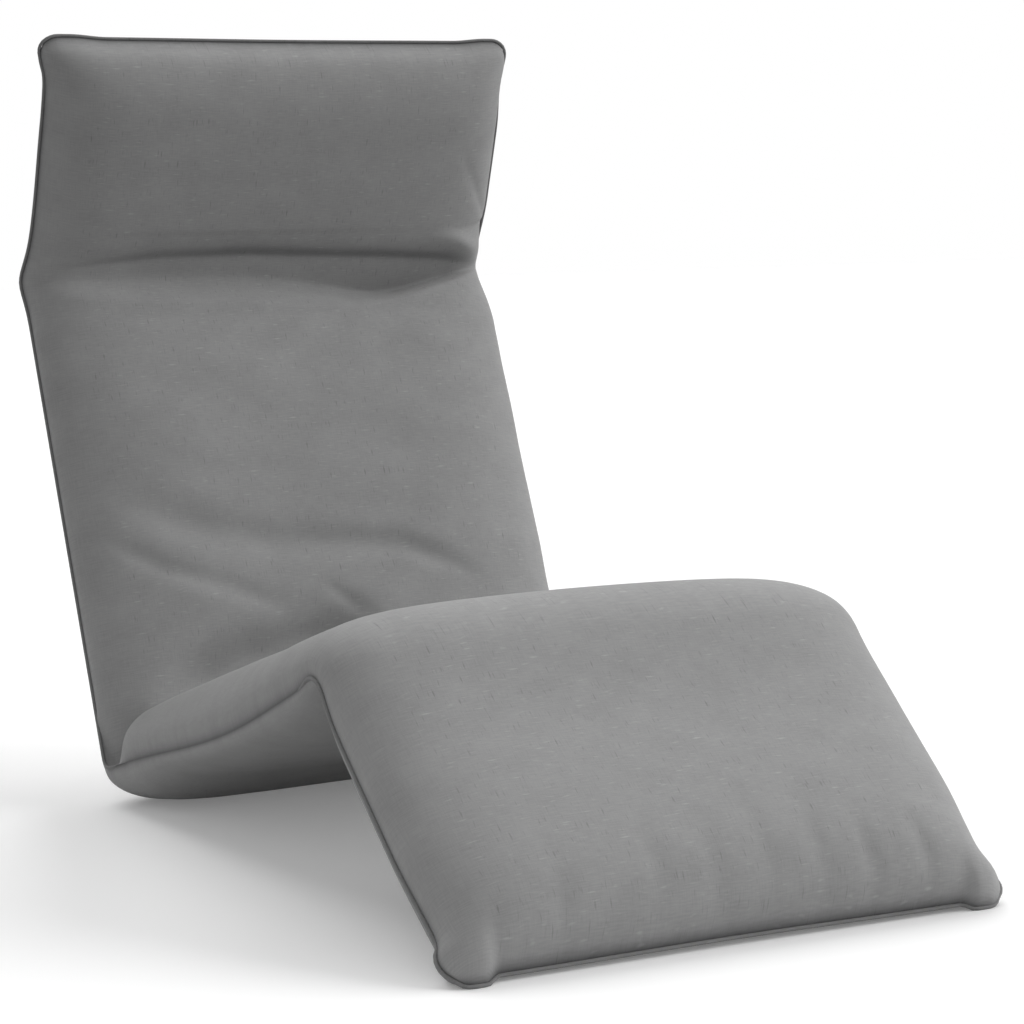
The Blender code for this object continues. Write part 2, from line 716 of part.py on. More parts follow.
def build():
    clear_scene()
    fabric = material("cover_fabric", (0.21, 0.21, 0.215), 0.0, 0.9)
    cord = material("piping_fabric", (0.09, 0.09, 0.095), 0.0, 0.85)
    sponge = material("pad_foam", (0.78, 0.74, 0.62), 0.0, 0.95)
    paint = material("frame_paint", (0.10, 0.10, 0.11), 0.2, 0.45)
    steel = material("hinge_steel", (0.55, 0.55, 0.56), 1.0, 0.35)
    spring = material("spring_steel", (0.42, 0.43, 0.46), 1.0, 0.3)
    strap = material("webbing_strap", (0.05, 0.05, 0.055), 0.0, 0.8)

    seat = empty("seat_frame", None, (0, 0, HIP_HEIGHT), -SEAT_TILT)
    back = empty("hip_axis", seat, (0, 0, 0), HIP_FOLD)
    head = empty("neck_axis", back, (0, BACK, 0), NECK_FOLD)
    leg = empty("knee_axis", seat, (0, -SEAT, 0), KNEE_FOLD)
    holders = {"head": head, "back": back, "seat": seat, "leg": leg}

    for name, holder in holders.items():
        node(name + "_cover", cover(name), holder, fabric)
        node(name + "_foam_upper", foam(name, True), holder, sponge)
        node(name + "_foam_lower", foam(name, False), holder, sponge)
    node("hip_fold_cover", fold_panel("hip_fold_cover", "seat", "back", (0, 0), HIP_FOLD,
                                      HIP_WRAP - 90, True), seat, fabric)
    node("neck_fold_cover", fold_panel("neck_fold_cover", "back", "head", (BACK, 0), NECK_FOLD,
                                       0.0, True), back, fabric, (0, BACK, 0))
    node("knee_fold_cover", fold_panel("knee_fold_cover", "seat", "leg", (-SEAT, 0), KNEE_FOLD,
                                       0.0, False), seat, fabric, (0, -SEAT, 0))

    node("head_piping", sweep(seam_path("head", 1), [PIPING_RADIUS], 8, "head_piping"), head, cord)
    node("leg_piping", sweep(seam_path("leg", 1), [PIPING_RADIUS], 8, "leg_piping"), leg, cord)
    for name in ("back", "seat"):
        for side, way in (("left", -1), ("right", 1)):
            label = name + "_piping_" + side
            node(label, sweep(seam_path(name, way), [PIPING_RADIUS], 8, label), holders[name], cord)

    bores = [TUBE_RADIUS, TUBE_RADIUS - TUBE_WALL]
    node("head_frame_loop", sweep(loop_path(HEAD, 1), bores, 12, "head_frame_loop"), head, paint)
    node("leg_frame_loop", sweep(loop_path(LEG, -1), bores, 12, "leg_frame_loop"), leg, paint)
    back_tube = [(0, ARM_COLLAR + GAP), (0, BACK - COLLAR_Y - GAP)]
    seat_tube = [(0, -SEAT + COLLAR_Y + GAP), (0, -COLLAR_Y - GAP)]
    back_mesh = sweep(back_tube, bores, 12, "back_side_tube")
    seat_mesh = sweep(seat_tube, bores, 12, "seat_side_tube")
    bar_mesh = cross_bar("cross_bar")
    for side, way in (("left", -1), ("right", 1)):
        node("back_side_tube_" + side, back_mesh, back, paint, (way * TUBE_X, 0, 0))
        node("seat_side_tube_" + side, seat_mesh, seat, paint, (way * TUBE_X, 0, 0))
    node("back_cross_bar_lower", bar_mesh, back, paint, (0, BAR_FROM_HINGE, 0))
    node("back_cross_bar_upper", bar_mesh, back, paint, (0, BACK - BAR_FROM_HINGE, 0))
    node("seat_cross_bar_rear", bar_mesh, seat, paint, (0, -BAR_FROM_HINGE, 0))
    node("seat_cross_bar_front", bar_mesh, seat, paint, (0, -SEAT + BAR_FROM_HINGE, 0))

    ways = (-STRAP_X, STRAP_X)
    for name, length, rows in (("head", HEAD, HEAD_ROWS), ("back", BACK, BACK_ROWS),
                               ("seat", -SEAT, SEAT_ROWS), ("leg", -LEG, LEG_ROWS)):
        label = name + "_webbing"
        node(label, webbing(label, [length * row for row in rows], ways), holders[name], strap)

    housing = hinge_housing()
    catch = pawl()
    leaf = pawl_spring()
    hinges = (
        ("hip", seat, back, 0, 0, 0, HIP_FOLD, HIP_TO_FLAT, HIP_TO_FOLDED),
        ("neck", back, head, BACK, 0, 0, NECK_FOLD, NECK_TO_FLAT, NECK_TO_FOLDED),
        ("knee", seat, leg, -SEAT, 0, 180, KNEE_FOLD, KNEE_TO_FLAT, KNEE_TO_FOLDED),
    )
    for name, parent, child, at, child_at, turned, fold, to_flat, to_folded in hinges:
        arm = ratchet_arm(name + "_ratchet_arm", fold, to_flat, to_folded)
        pivot = turn(turned) @ Vector((0, *PAWL_PIVOT))
        for side, way in (("left", -1), ("right", 1)):
            x = way * TUBE_X
            tail = "_" + side
            node(name + "_hinge_housing" + tail, housing, parent, steel, (x, at, 0), turned)
            node(name + "_ratchet_arm" + tail, arm, child, steel, (x, child_at, 0), turned)
            node(name + "_pawl_spring" + tail, leaf, parent, spring, (x, at, 0), turned)
            axis = empty(name + "_pawl_axis" + tail, parent, (x, at + pivot.y, pivot.z), turned)
            node(name + "_pawl" + tail, catch, axis, steel)


build()
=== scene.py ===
# %% [markdown]
# # A folding floor lounger
# The real object is one long sewn cover with four foam pads inside it: leg rest, seat, back and
# head rest. A tube frame with ratchet hinges is hidden in the pads, so all that shows is cloth
# and the piped cord round its edge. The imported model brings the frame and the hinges. This file
# sews the cover over them, dresses it, and lights it.

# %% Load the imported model
import json
import math

import bmesh
import bpy
import numpy as np
from mathutils import Matrix, Vector, noise


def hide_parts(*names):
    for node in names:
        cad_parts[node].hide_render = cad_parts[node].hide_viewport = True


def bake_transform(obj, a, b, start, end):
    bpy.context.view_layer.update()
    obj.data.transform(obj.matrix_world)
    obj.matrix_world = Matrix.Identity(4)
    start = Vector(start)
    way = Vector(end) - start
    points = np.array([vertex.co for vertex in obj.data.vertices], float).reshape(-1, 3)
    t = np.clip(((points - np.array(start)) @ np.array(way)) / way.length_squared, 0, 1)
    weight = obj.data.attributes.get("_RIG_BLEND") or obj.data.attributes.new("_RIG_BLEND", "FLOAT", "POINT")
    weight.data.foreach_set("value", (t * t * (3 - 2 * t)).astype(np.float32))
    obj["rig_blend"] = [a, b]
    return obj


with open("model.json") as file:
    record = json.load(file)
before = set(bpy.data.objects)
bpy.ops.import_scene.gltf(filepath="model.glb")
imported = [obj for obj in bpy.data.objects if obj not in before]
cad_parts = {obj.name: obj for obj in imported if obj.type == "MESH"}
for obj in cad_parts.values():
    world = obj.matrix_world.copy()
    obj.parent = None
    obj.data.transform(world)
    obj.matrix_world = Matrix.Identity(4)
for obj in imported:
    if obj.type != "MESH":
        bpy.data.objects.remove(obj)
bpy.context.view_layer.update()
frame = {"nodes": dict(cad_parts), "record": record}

# %% [markdown]
# ## Camera
# A camera could be placed by eye. Here it was fitted to the lounger's outline in the photograph,
# so only the fitted numbers stand in this cell: a long lens, low and to the left of the foot end.

# %% Camera
LENS, SENSOR = 105.02, 36
CAMERA_AT = (-1.4247, -3.0980, 0.7229)
CAMERA_TURN, CAMERA_DIP, CAMERA_ROLL = -27.954, 6.948, -0.452

camera = bpy.data.objects.new("photo_camera", bpy.data.cameras.new("photo_camera"))
bpy.context.scene.collection.objects.link(camera)
camera.data.lens = LENS
camera.data.sensor_width = SENSOR
turn = Matrix.Rotation(math.radians(CAMERA_TURN), 4, "Z")
dip = Matrix.Rotation(math.radians(90 - CAMERA_DIP), 4, "X")
roll = Matrix.Rotation(math.radians(CAMERA_ROLL), 4, "Z")
camera.matrix_world = Matrix.Translation(CAMERA_AT) @ turn @ dip @ roll
bpy.context.scene.camera = camera
print("camera at", CAMERA_AT, "lens", LENS)

# %% [markdown]
# ## The seam line, seen from the side
# Top and bottom panels of the cover meet in one seam that runs round the whole lounger in the
# plane of the hinges. Seen from the side it is a bent line from foot to head. The cover is cut
# flat and then folded along this line, which is what the real cloth does. A direction that turns
# smoothly through each hinge, added up in small steps, gives that line.

# %% Seam line
LEG, SEAT, BACK, HEAD = 0.358, 0.600, 0.583, 0.293
HIP_HEIGHT = 0.040
SEAT_TILT, KNEE_FOLD, HIP_FOLD, NECK_FOLD = 17.87, 56, 84, 42
LEANS = np.radians(np.array([KNEE_FOLD, 0, HIP_FOLD, HIP_FOLD + NECK_FOLD]) - SEAT_TILT)
BEND_LENGTHS = (0.045, 0.026, 0.040)  # at knee, hip and neck
SEAM_STEP = 0.0005
SPARE = 0.03  # the line runs on this far past both ends


def along(lean):
    """A step of one metre in the side view, in y and z."""
    return np.array([math.cos(lean), math.sin(lean)])


HIP_AT = np.array([0.0, HIP_HEIGHT])
KNEE_AT = HIP_AT - SEAT * along(LEANS[1])
FOOT_AT = KNEE_AT - LEG * along(LEANS[0])
NECK_AT = HIP_AT + BACK * along(LEANS[2])
HINGES_AT = (KNEE_AT, HIP_AT, NECK_AT)


def bend_leans(bend):
    """The direction of the seam through one hinge, in small steps."""
    share = np.linspace(0, 1, int(BEND_LENGTHS[bend] / SEAM_STEP))
    return LEANS[bend] + (LEANS[bend + 1] - LEANS[bend]) * share * share * (3 - 2 * share)


def corner_cut(bend):
    """How much of each straight run the rounded corner takes away."""
    half = (LEANS[bend + 1] - LEANS[bend]) / 2
    chord = np.cos(bend_leans(bend) - LEANS[bend] - half).sum() * SEAM_STEP
    return chord / (2 * math.cos(half))

# %% Add the seam up
cuts = [0.0] + [corner_cut(bend) for bend in range(3)] + [0.0]
leans, bend_middles = [], []
for number, length in enumerate((LEG, SEAT, BACK, HEAD)):
    straight = length - cuts[number] - cuts[number + 1]
    leans.append(np.full(int(round(straight / SEAM_STEP)), LEANS[number]))
    if number < 3:
        bend_middles.append(sum(len(run) for run in leans) * SEAM_STEP + BEND_LENGTHS[number] / 2)
        leans.append(bend_leans(number))
leans = np.concatenate(leans)
seam_at = np.arange(len(leans)) * SEAM_STEP
seam_y = FOOT_AT[0] + np.concatenate([[0], np.cumsum(np.cos(leans))[:-1]]) * SEAM_STEP
seam_z = FOOT_AT[1] + np.concatenate([[0], np.cumsum(np.sin(leans))[:-1]]) * SEAM_STEP
SEAM_LENGTH = seam_at[-1]
KNEE, HIP, NECK = bend_middles
leans = np.concatenate([leans[:1], leans, leans[-1:]])
seam_at = np.concatenate([[-SPARE], seam_at, [SEAM_LENGTH + SPARE]])
spare_y, spare_z = SPARE * np.cos(leans), SPARE * np.sin(leans)
seam_y = np.concatenate([seam_y[:1] - spare_y[0], seam_y, seam_y[-1:] + spare_y[-1]])
seam_z = np.concatenate([seam_z[:1] - spare_z[0], seam_z, seam_z[-1:] + spare_z[-1]])
print("seam length", round(SEAM_LENGTH, 4), "bends at", [round(float(m), 4) for m in bend_middles])


def fold_up(across, down, rise):
    """Points of the flat cover, folded along the seam line into the pictured pose."""
    lean = np.interp(down, seam_at, leans)
    y = np.interp(down, seam_at, seam_y) - np.sin(lean) * rise
    z = np.interp(down, seam_at, seam_z) + np.cos(lean) * rise
    return np.stack([across, y, z], 1)

# %% [markdown]
# ## Cutting the panels
# Both panels start as one grid each, lying flat: x across the lounger and y from foot to head.
# A grid from `bmesh.ops.create_grid` has even rows, and cloth needs more of them where it creases,
# so the rows are then moved closer together round the hinges. The outline pulls in between the
# corners, which leaves the small rounded ears that a sewn pillow always shows.

# %% Rows and columns
COLUMNS, ROWS = 80, 270
CALM_ROW, CREASE_ROW, ROW_CHANGE = 0.0115, 0.0048, 0.05
EDGE_CROWDING = 0.36
CREASED = ((KNEE, 0.055), (HIP, 0.055), (HIP + 0.22, 0.10), (NECK, 0.075))


def row_spacing(down):
    """Distance between rows: small at the creases, larger where the cloth is calm."""
    outside = np.min([np.abs(down - middle) - reach for middle, reach in CREASED], axis=0)
    calm = np.clip(outside / ROW_CHANGE, 0, 1)
    return CREASE_ROW + (CALM_ROW - CREASE_ROW) * calm


inside = seam_at[1:-1]
dense = np.concatenate([[0], np.cumsum(1 / row_spacing(inside[:-1]))])
rows = np.interp(np.linspace(0, dense[-1], ROWS + 1), dense, inside)
for middle in bend_middles:
    rows[np.argmin(np.abs(rows - middle))] = middle
CUT_SEAT = rows[np.argmin(np.abs(rows - (KNEE + HIP) / 2))]
CUT_BACK = rows[np.argmin(np.abs(rows - (HIP + NECK) / 2))]
columns = np.linspace(-1, 1, COLUMNS + 1)
columns = columns * (1 + EDGE_CROWDING * (1 - columns ** 2))
print("rows from", round(float(np.diff(rows).min()), 4), "to", round(float(np.diff(rows).max()), 4))

# %% Outline of the sewn edge
SEAM_HALF = 0.2945
EAR, CORNER = 0.022, 0.024
EAR_TURN, EAR_END, HEAD_EAR_END = 1.4 * EAR, 2 * EAR, 3.4 * EAR
FOOT_EAR, HEAD_EAR = 0.004, 0.0005
FOOT_NOTCH, HEAD_NOTCH, NOTCH_END = 0.0040, 0.0012, 0.150
RIGHT_FOOT, RIGHT_FOOT_END = 0.006, 0.09
LEFT_HEAD, LEFT_HEAD_END = 0.006, 0.06
SIDE_PULLS = (-0.0010, 0.0035, 0.0000, 0.0065)  # leg rest, seat, back and head
END_PULL, END_BOW, END_REACH = 0.0060, 0.0020, 0.10
HEAD_END_SHARE = 0.50
NECK_DRIFT, NECK_DRIFT_REACH = 0.004, 0.03


def smooth(low, high, value):
    """Zero up to low, one from high, and a soft step between."""
    share = np.clip((value - low) / (high - low), 0, 1)
    return share * share * (3 - 2 * share)


def ear(from_corner):
    """The round outline of an ear, from zero at the corner up to one and back to zero."""
    return np.sqrt(np.clip(1 - (from_corner / EAR - 1) ** 2, 0, 1))


def side_pull(down):
    """How far the long edges pull in, section by section, with a notch beside each ear."""
    ends = [0, KNEE, HIP, NECK, SEAM_LENGTH]
    pull = np.zeros_like(down)
    for low, high, most in zip(ends[:-1], ends[1:], SIDE_PULLS):
        share = np.clip((down - low) / (high - low), 0, 1)
        pull += most * (1 - np.abs(2 * share - 1) ** 3) * ((down >= low) & (down < high))
    top = SEAM_LENGTH - down
    notch = 0
    for deep, from_end in ((FOOT_NOTCH, down), (HEAD_NOTCH, top)):
        fade = 1 - smooth(EAR_END, NOTCH_END, from_end)
        notch = notch + deep * smooth(EAR_TURN, EAR_END, from_end) * fade
    return pull + notch - FOOT_EAR * ear(down) - HEAD_EAR * ear(top)


def end_pull(across, foot_side):
    """How far an end edge pulls in between its two ears; those of the head are longer."""
    from_corner = SEAM_HALF - np.abs(across)
    ear_end = np.where(foot_side, EAR_END, HEAD_EAR_END)
    bow = END_BOW * smooth(EAR_END, SEAM_HALF, from_corner)
    return END_PULL * smooth(EAR_TURN, ear_end, from_corner) + bow

# %% Flat place of every point
def cut_outline(share, down, out=0.0):
    """Flat place of a panel point: share runs from -1 to 1 across, down from foot to head."""
    half = SEAM_HALF + out - side_pull(down)
    half = half + np.where(share > 0, RIGHT_FOOT * (1 - smooth(0, RIGHT_FOOT_END, down)),
                           LEFT_HEAD * (1 - smooth(0, LEFT_HEAD_END, SEAM_LENGTH - down)))
    across = share * half
    foot_side = down < SEAM_LENGTH / 2
    depth = np.where(foot_side, down, SEAM_LENGTH - down) - out
    # the square corner of the grid is drawn into a round one
    by_side = np.clip((np.abs(across) - half + CORNER) / CORNER, 0, 1)
    by_end = np.clip((CORNER - out - depth) / CORNER, 0, 1)
    both = (by_side > 0) & (by_end > 0)
    round_side = np.where(both, by_side * np.sqrt(1 - by_end * by_end / 2), by_side)
    round_end = np.where(both, by_end * np.sqrt(1 - by_side * by_side / 2), by_end)
    across = np.where(by_side > 0, np.sign(across) * (half - CORNER + round_side * CORNER), across)
    depth = np.where(by_end > 0, CORNER - out - round_end * CORNER, depth)
    near = 1 - np.clip(depth / END_REACH, 0, 1)
    pull = end_pull(across, foot_side) * np.where(foot_side, 1.0, HEAD_END_SHARE)
    pull = pull - np.where(foot_side, FOOT_EAR, 0) * ear(SEAM_HALF - np.abs(across))
    depth = depth + pull * near * near
    across = across - NECK_DRIFT * np.exp(-((down - NECK) / NECK_DRIFT_REACH) ** 2)
    return across, np.where(foot_side, depth, SEAM_LENGTH - depth)

# %% Two flat panels, sewn at the edge
MERGE_DISTANCE = 0.00001
ON_EDGE = 0.9999

shape = bmesh.new()
share_layer = shape.verts.layers.float.new("share")
down_layer = shape.verts.layers.float.new("down")
side_layer = shape.verts.layers.float.new("side")
for side in (1, -1):
    panel = bmesh.ops.create_grid(shape, x_segments=COLUMNS, y_segments=ROWS, size=1)["verts"]
    for vert in panel:
        vert[share_layer] = columns[round((vert.co.x + 1) / 2 * COLUMNS)]
        vert[down_layer] = rows[round((vert.co.y + 1) / 2 * ROWS)]
        edge = abs(vert.co.x) > ON_EDGE or abs(vert.co.y) > ON_EDGE
        vert[side_layer] = 0 if edge else side
    if side < 0:
        faces = {face for vert in panel for face in vert.link_faces}
        bmesh.ops.reverse_faces(shape, faces=list(faces))
bmesh.ops.remove_doubles(shape, verts=[v for v in shape.verts if v[side_layer] == 0], dist=MERGE_DISTANCE)
cover_mesh = bpy.data.meshes.new("cover")
shape.to_mesh(cover_mesh)
shape.free()
print("cover points", len(cover_mesh.vertices), "faces", len(cover_mesh.polygons))


def read_values(name):
    """One number for each point of the cover."""
    data = cover_mesh.attributes[name].data
    values = np.zeros(len(data))
    data.foreach_get("value", values)
    return values


share, station, side = (read_values(name) for name in ("share", "down", "side"))
flat_x, flat_s = cut_outline(share, station)

# %% [markdown]
# ## Filling the pads
# Foam lifts each panel off the seam: steeply near the edge and then nearly flat, lower towards
# the closed ends, and down into a crease wherever a hinge folds the panel shut. The lift is a
# height above the seam plane, so the whole lounger is filled before it is folded. The seam itself
# rides up over the knee, sags under the seat and lies a little higher on the right of the head.

# %% Crown of the pads
CROWN_POWER, SEAT_POWER = 7.5, 14
SEAT_STARTS, SEAT_ENDS = (KNEE, KNEE + 0.12), (HIP - 0.08, HIP)


def crowned(share, down):
    """One in the middle and zero at the seam; the seat has the straightest walls."""
    seat = smooth(*SEAT_STARTS, down) * (1 - smooth(*SEAT_ENDS, down))
    return np.sqrt(1 - np.abs(share) ** (CROWN_POWER + (SEAT_POWER - CROWN_POWER) * seat))

# %% Side walls and side seam
OVERHANG_TOP, OVERHANG_UNDER, OVERHANG_HEAD = 0.006, 0.003, -0.003
FREE_FROM_END, FREE_FROM_NECK = (0.02, 0.12), (0.01, 0.08)
LEG_TUCK, LEG_TUCK_FADE = 0.005, (0.08, 0.32)
ARCH, ARCH_REACH, ARCH_POWER = 0.010, 0.034, 12
SAG, SAG_START, SAG_SKEW = 0.0118, 0.05, 0.75
HEAD_LIFT = 0.010
LIFT_STARTS, LIFT_ENDS = (NECK + 0.02, NECK + 0.10), (SEAM_LENGTH - 0.11, SEAM_LENGTH - 0.03)


def overhang(share, down, side):
    """How far the side of a pad swells out past its own seam."""
    wall = crowned(share, down) * (1 - crowned(share, down)) * 4
    under = np.where(down > KNEE, OVERHANG_UNDER, 0)
    most = np.where(side > 0, np.where(down > NECK, OVERHANG_HEAD, OVERHANG_TOP), under)
    from_end = np.minimum(down, SEAM_LENGTH - down)
    free = smooth(*FREE_FROM_END, from_end) * smooth(*FREE_FROM_NECK, np.abs(down - NECK))
    inwards = LEG_TUCK * (share > 0) * (side > 0) * (1 - smooth(*LEG_TUCK_FADE, down))
    return np.sign(share) * np.abs(side) * wall * (most * free - inwards)


def seam_arch(share, down):
    """The side seam rides up over the knee, sags under the seat and lies higher right of the head."""
    along_seat = np.clip((down - KNEE - SAG_START) / (HIP - KNEE - SAG_START), 0, 1)
    sag = SAG * np.sin(math.pi * along_seat ** SAG_SKEW) ** 2
    head = smooth(*LIFT_STARTS, down) * (1 - smooth(*LIFT_ENDS, down))
    return ARCH * np.exp(-((down - KNEE) / ARCH_REACH) ** 2) - sag + HEAD_LIFT * (share > 0) * head

# %% Height of the filled panels
END_ROUND, ROUND_POWER = 0.085, 2.2
TOP_KNOTS = ((0, 0.061), (HIP - 0.04, 0.061), (HIP + 0.04, 0.058), (SEAM_LENGTH, 0.055))
UNDER_KNOTS = ((0, 0.050), (KNEE - 0.04, 0.050), (KNEE + 0.04, 0.030), (HIP - 0.16, 0.028),
               (HIP - 0.06, 0.044), (HIP, 0.046), (HIP + 0.10, 0.047), (SEAM_LENGTH, 0.044))
# place, side (1 for the top and -1 for the underside), least height or extra height, and reach
CREASES = ((HIP, 1, 0.044, 0.060), (KNEE, -1, 0.026, 0.085))
KNUCKLES = ((NECK, -1, 0.004, 0.05), (KNEE, 1, 0.012, 0.11))
CREASE_FADE, KNUCKLE_CROWN = (0.80, 0.98), 0.8
HIP_PINCH, PINCH_REACH = 0.075, 0.04
HOLLOW, HOLLOW_LENGTH, HOLLOW_WIDTH = 0.15, 0.12, 0.55


def pad_rise(share, down, side):
    """Height of the cloth over the seam plane, before any wrinkle."""
    top = np.interp(down, *zip(*TOP_KNOTS))
    under = np.interp(down, *zip(*UNDER_KNOTS))
    full = np.where(side > 0, top, under)
    pinch = np.where(side > 0, 1 + HIP_PINCH * np.exp(-((down - HIP) / PINCH_REACH) ** 2), 1)
    crown = crowned(np.minimum(np.abs(share) * pinch, 1), down)
    from_end = np.minimum(down, SEAM_LENGTH - down)
    closing = np.sqrt(1 - np.clip(1 - from_end / END_ROUND, 0, 1) ** ROUND_POWER)
    rise = full * crown * closing
    for middle, where, least, reach in CREASES:
        least = least * (1 - smooth(*CREASE_FADE, np.abs(share)))
        deep = 1 - (least / full) ** 2
        dip = np.sqrt(1 - deep * np.clip(1 - np.abs(down - middle) / reach, 0, 1) ** ROUND_POWER)
        rise = np.where(side == where, rise * dip, rise)
    under_hip = np.exp(-((down - HIP) / HOLLOW_LENGTH) ** 2 - (share / HOLLOW_WIDTH) ** 2)
    rise = np.where(side < 0, rise * (1 - HOLLOW * under_hip), rise)
    for middle, where, more, reach in KNUCKLES:
        bump = more * crown * (1 - KNUCKLE_CROWN * share ** 2) * np.exp(-((down - middle) / reach) ** 2 * 2)
        rise = np.where(side == where, rise + bump, rise)
    return rise * side


rise = pad_rise(share, station, side)
arch = seam_arch(share, station) * np.abs(share) ** ARCH_POWER
placed = fold_up(flat_x + overhang(share, station, side), flat_s, rise + arch)
print("cloth over the seam: from", round(float(rise.min()), 4), "to", round(float(rise.max()), 4))

# %% [markdown]
# At the neck the pads meet at a wide angle, and there is more cloth than the valley needs. The end
# of the head pad turns in first, the spare cloth hangs below it, and on the right the back pad
# ends in a sharp edge in front of it. So the points near the neck are laid out again: for each
# column a side view of the valley is drawn, as height over a line that stands upright in the
# valley, and the rows are then spread evenly along it.

# %% Valley at the neck
NECK_FOLD_HALF = (LEANS[3] - LEANS[2]) / 2
# each pair is a share across the width, and a size there
TUCK_LINE = ((-1, 0.006), (-0.91, 0.0125), (-0.72, 0.0183), (-0.47, 0.0244), (-0.12, 0.0256),
             (0.23, 0.0215), (0.55, 0.0180), (0.79, 0.0145), (0.93, 0.0064), (1, 0.0030))
VALLEY_LINE = ((-1, -0.001), (-0.90, -0.004), (-0.76, -0.009), (-0.47, -0.012), (-0.13, -0.015),
               (0.15, -0.024), (0.31, -0.030), (0.45, -0.031), (0.54, -0.028), (0.73, -0.0155),
               (0.90, -0.003), (1, 0.0015))
TUCK_DEPTHS = ((-1, 0.0), (-0.85, 0.008), (-0.6, 0.017), (-0.2, 0.021), (0.8, 0.021), (1, 0.005))
VALLEY_WIDTHS = ((-1, 0.010), (-0.8, 0.018), (0, 0.020), (0.3, 0.014), (0.45, 0.006), (0.55, 0.003),
                 (1, 0.0025))
TUCK_ROUND = 0.010
ROLL, ROLL_ROUND, HANG = 0.20, 0.008, 0.10
LIP, LIP_SHARE, LIP_WIDTH = 0.013, 0.86, 0.13
LIP_UP, LIP_HEIGHT = 0.019, 0.012


def along_width(knots, share):
    """A size at one share of the width, on straight lines between the given pairs."""
    return np.interp(share, *zip(*knots))


def valley_profile(share, height, up):
    """Side view of one column: how far the cloth stands out, for places up along the valley."""
    slope = math.tan(NECK_FOLD_HALF)
    crown = crowned(share, NECK)
    tuck, valley = along_width(TUCK_LINE, share), along_width(VALLEY_LINE, share)
    above, below = np.maximum(up - tuck, 0), np.maximum(tuck - up, 0)
    depth = along_width(TUCK_DEPTHS, share)
    roll = depth * ROLL * (1 - np.exp(-below / ROLL_ROUND))
    head = slope * up - crown * (depth * np.exp(-above / TUCK_ROUND) - roll) - HANG * below
    lip = LIP * math.exp(-((share - LIP_SHARE) / LIP_WIDTH) ** 2)
    lip = lip * np.exp(-((up - tuck - LIP_UP) / LIP_HEIGHT) ** 2)
    back = -slope * up
    width = along_width(VALLEY_WIDTHS, share)
    choice = smooth(valley - width, valley + width, up)
    return height / math.cos(NECK_FOLD_HALF) + back + (head + crown * lip - back) * choice

# %% Lay out the neck
VALLEY_REACH, PROFILE_POINTS = 0.075, 800
TUCK_DEEPEST = max(depth for _, depth in TUCK_DEPTHS)
# painted shade in the tuck: how far above the tuck line it is darkest, and its half height
SHADE_UP, SHADE_HALF = 0.003, 0.009


def lay_out_neck(points):
    """Moved points, and how much each lies in the tuck, which sets the painted shade there."""
    in_tuck = np.zeros(len(points))
    upright = (LEANS[2] + LEANS[3]) / 2  # the way up along the valley
    run, out = along(upright), along(upright + math.pi / 2)
    part = (station - NECK) / VALLEY_REACH
    near = (side > 0) & (np.abs(part) < 1)
    for column in np.unique(share[near]):
        rows_here = np.flatnonzero(near & (share == column))
        height = rise[rows_here].mean()
        reach = VALLEY_REACH * math.cos(NECK_FOLD_HALF) - height * math.sin(NECK_FOLD_HALF)
        up = np.linspace(-reach, reach, PROFILE_POINTS)
        level = valley_profile(column, height, up)
        length = np.concatenate([[0], np.cumsum(np.hypot(np.diff(up), np.diff(level)))])
        wanted = (part[rows_here] + 1) / 2 * length[-1]
        up, level = np.interp(wanted, length, up), np.interp(wanted, length, level)
        points[rows_here, 1:] = NECK_AT + up[:, None] * run + level[:, None] * out
        from_tuck = (up - along_width(TUCK_LINE, column) - SHADE_UP) / SHADE_HALF
        in_tuck[rows_here] = along_width(TUCK_DEPTHS, column) / TUCK_DEEPEST * np.exp(-from_tuck ** 2)
    return points, in_tuck


placed, in_tuck = lay_out_neck(placed)
print("points deep in the neck's tuck:", int((in_tuck > 0.5).sum()))

# %% [markdown]
# Where knee and hip close, two pads press on each other. Each keeps to its own side of the plane
# that halves the fold, a hair apart, and that makes the tight crease. Below, nothing goes through
# the floor, so the pads lie flat where the lounger stands.

# %% Contact
CONTACT = 0.0013
FLOOR_TOUCH = 0.0004
HINGE_REACH, ON_HINGE = 0.13, 1e-6


def keep_apart(points):
    """Points put back on their own side of each closed fold, and on or over the floor."""
    for bend, (middle, at) in enumerate(zip(bend_middles[:2], HINGES_AT[:2])):
        across_fold = along((LEANS[bend] + LEANS[bend + 1]) / 2)
        past = (points[:, 1:] - at) @ across_fold
        offset = station - middle
        near = np.abs(offset) < HINGE_REACH
        least = np.where(np.abs(offset) < ON_HINGE, 0, CONTACT)
        wrong = near & (past * np.sign(offset) < least)
        shift = np.where(wrong, np.sign(offset) * least - past, 0)
        shift = np.where(np.abs(offset) < ON_HINGE, -past, shift)
        points[:, 1:] += shift[:, None] * across_fold
    points[:, 2] = np.maximum(points[:, 2], FLOOR_TOUCH)
    return points


placed = keep_apart(placed)
cover_mesh.vertices.foreach_set("co", placed.ravel())
cover_mesh.update()
print("cover spans", placed.min(0).round(4), placed.max(0).round(4))

# %% [markdown]
# ## Swelling the cloth
# Foam presses the cloth outwards, and sewn seams hold it back. Blender's Cloth does exactly that
# when it gets a pressure and the seam points are pinned. Gravity is off, because foam carries
# the cloth. How far a point may move is capped, so the shape stays the one that was cut. The moves
# are then evened out, and over the knee, where the cloth is drawn tight, they fade to nothing.

# %% Cloth under pressure
SWELL_CAP = 0.010
PRESSURE = 2.0
SWELL_FRAMES = 20

cover = bpy.data.objects.new("cover", cover_mesh)
bpy.context.scene.collection.objects.link(cover)


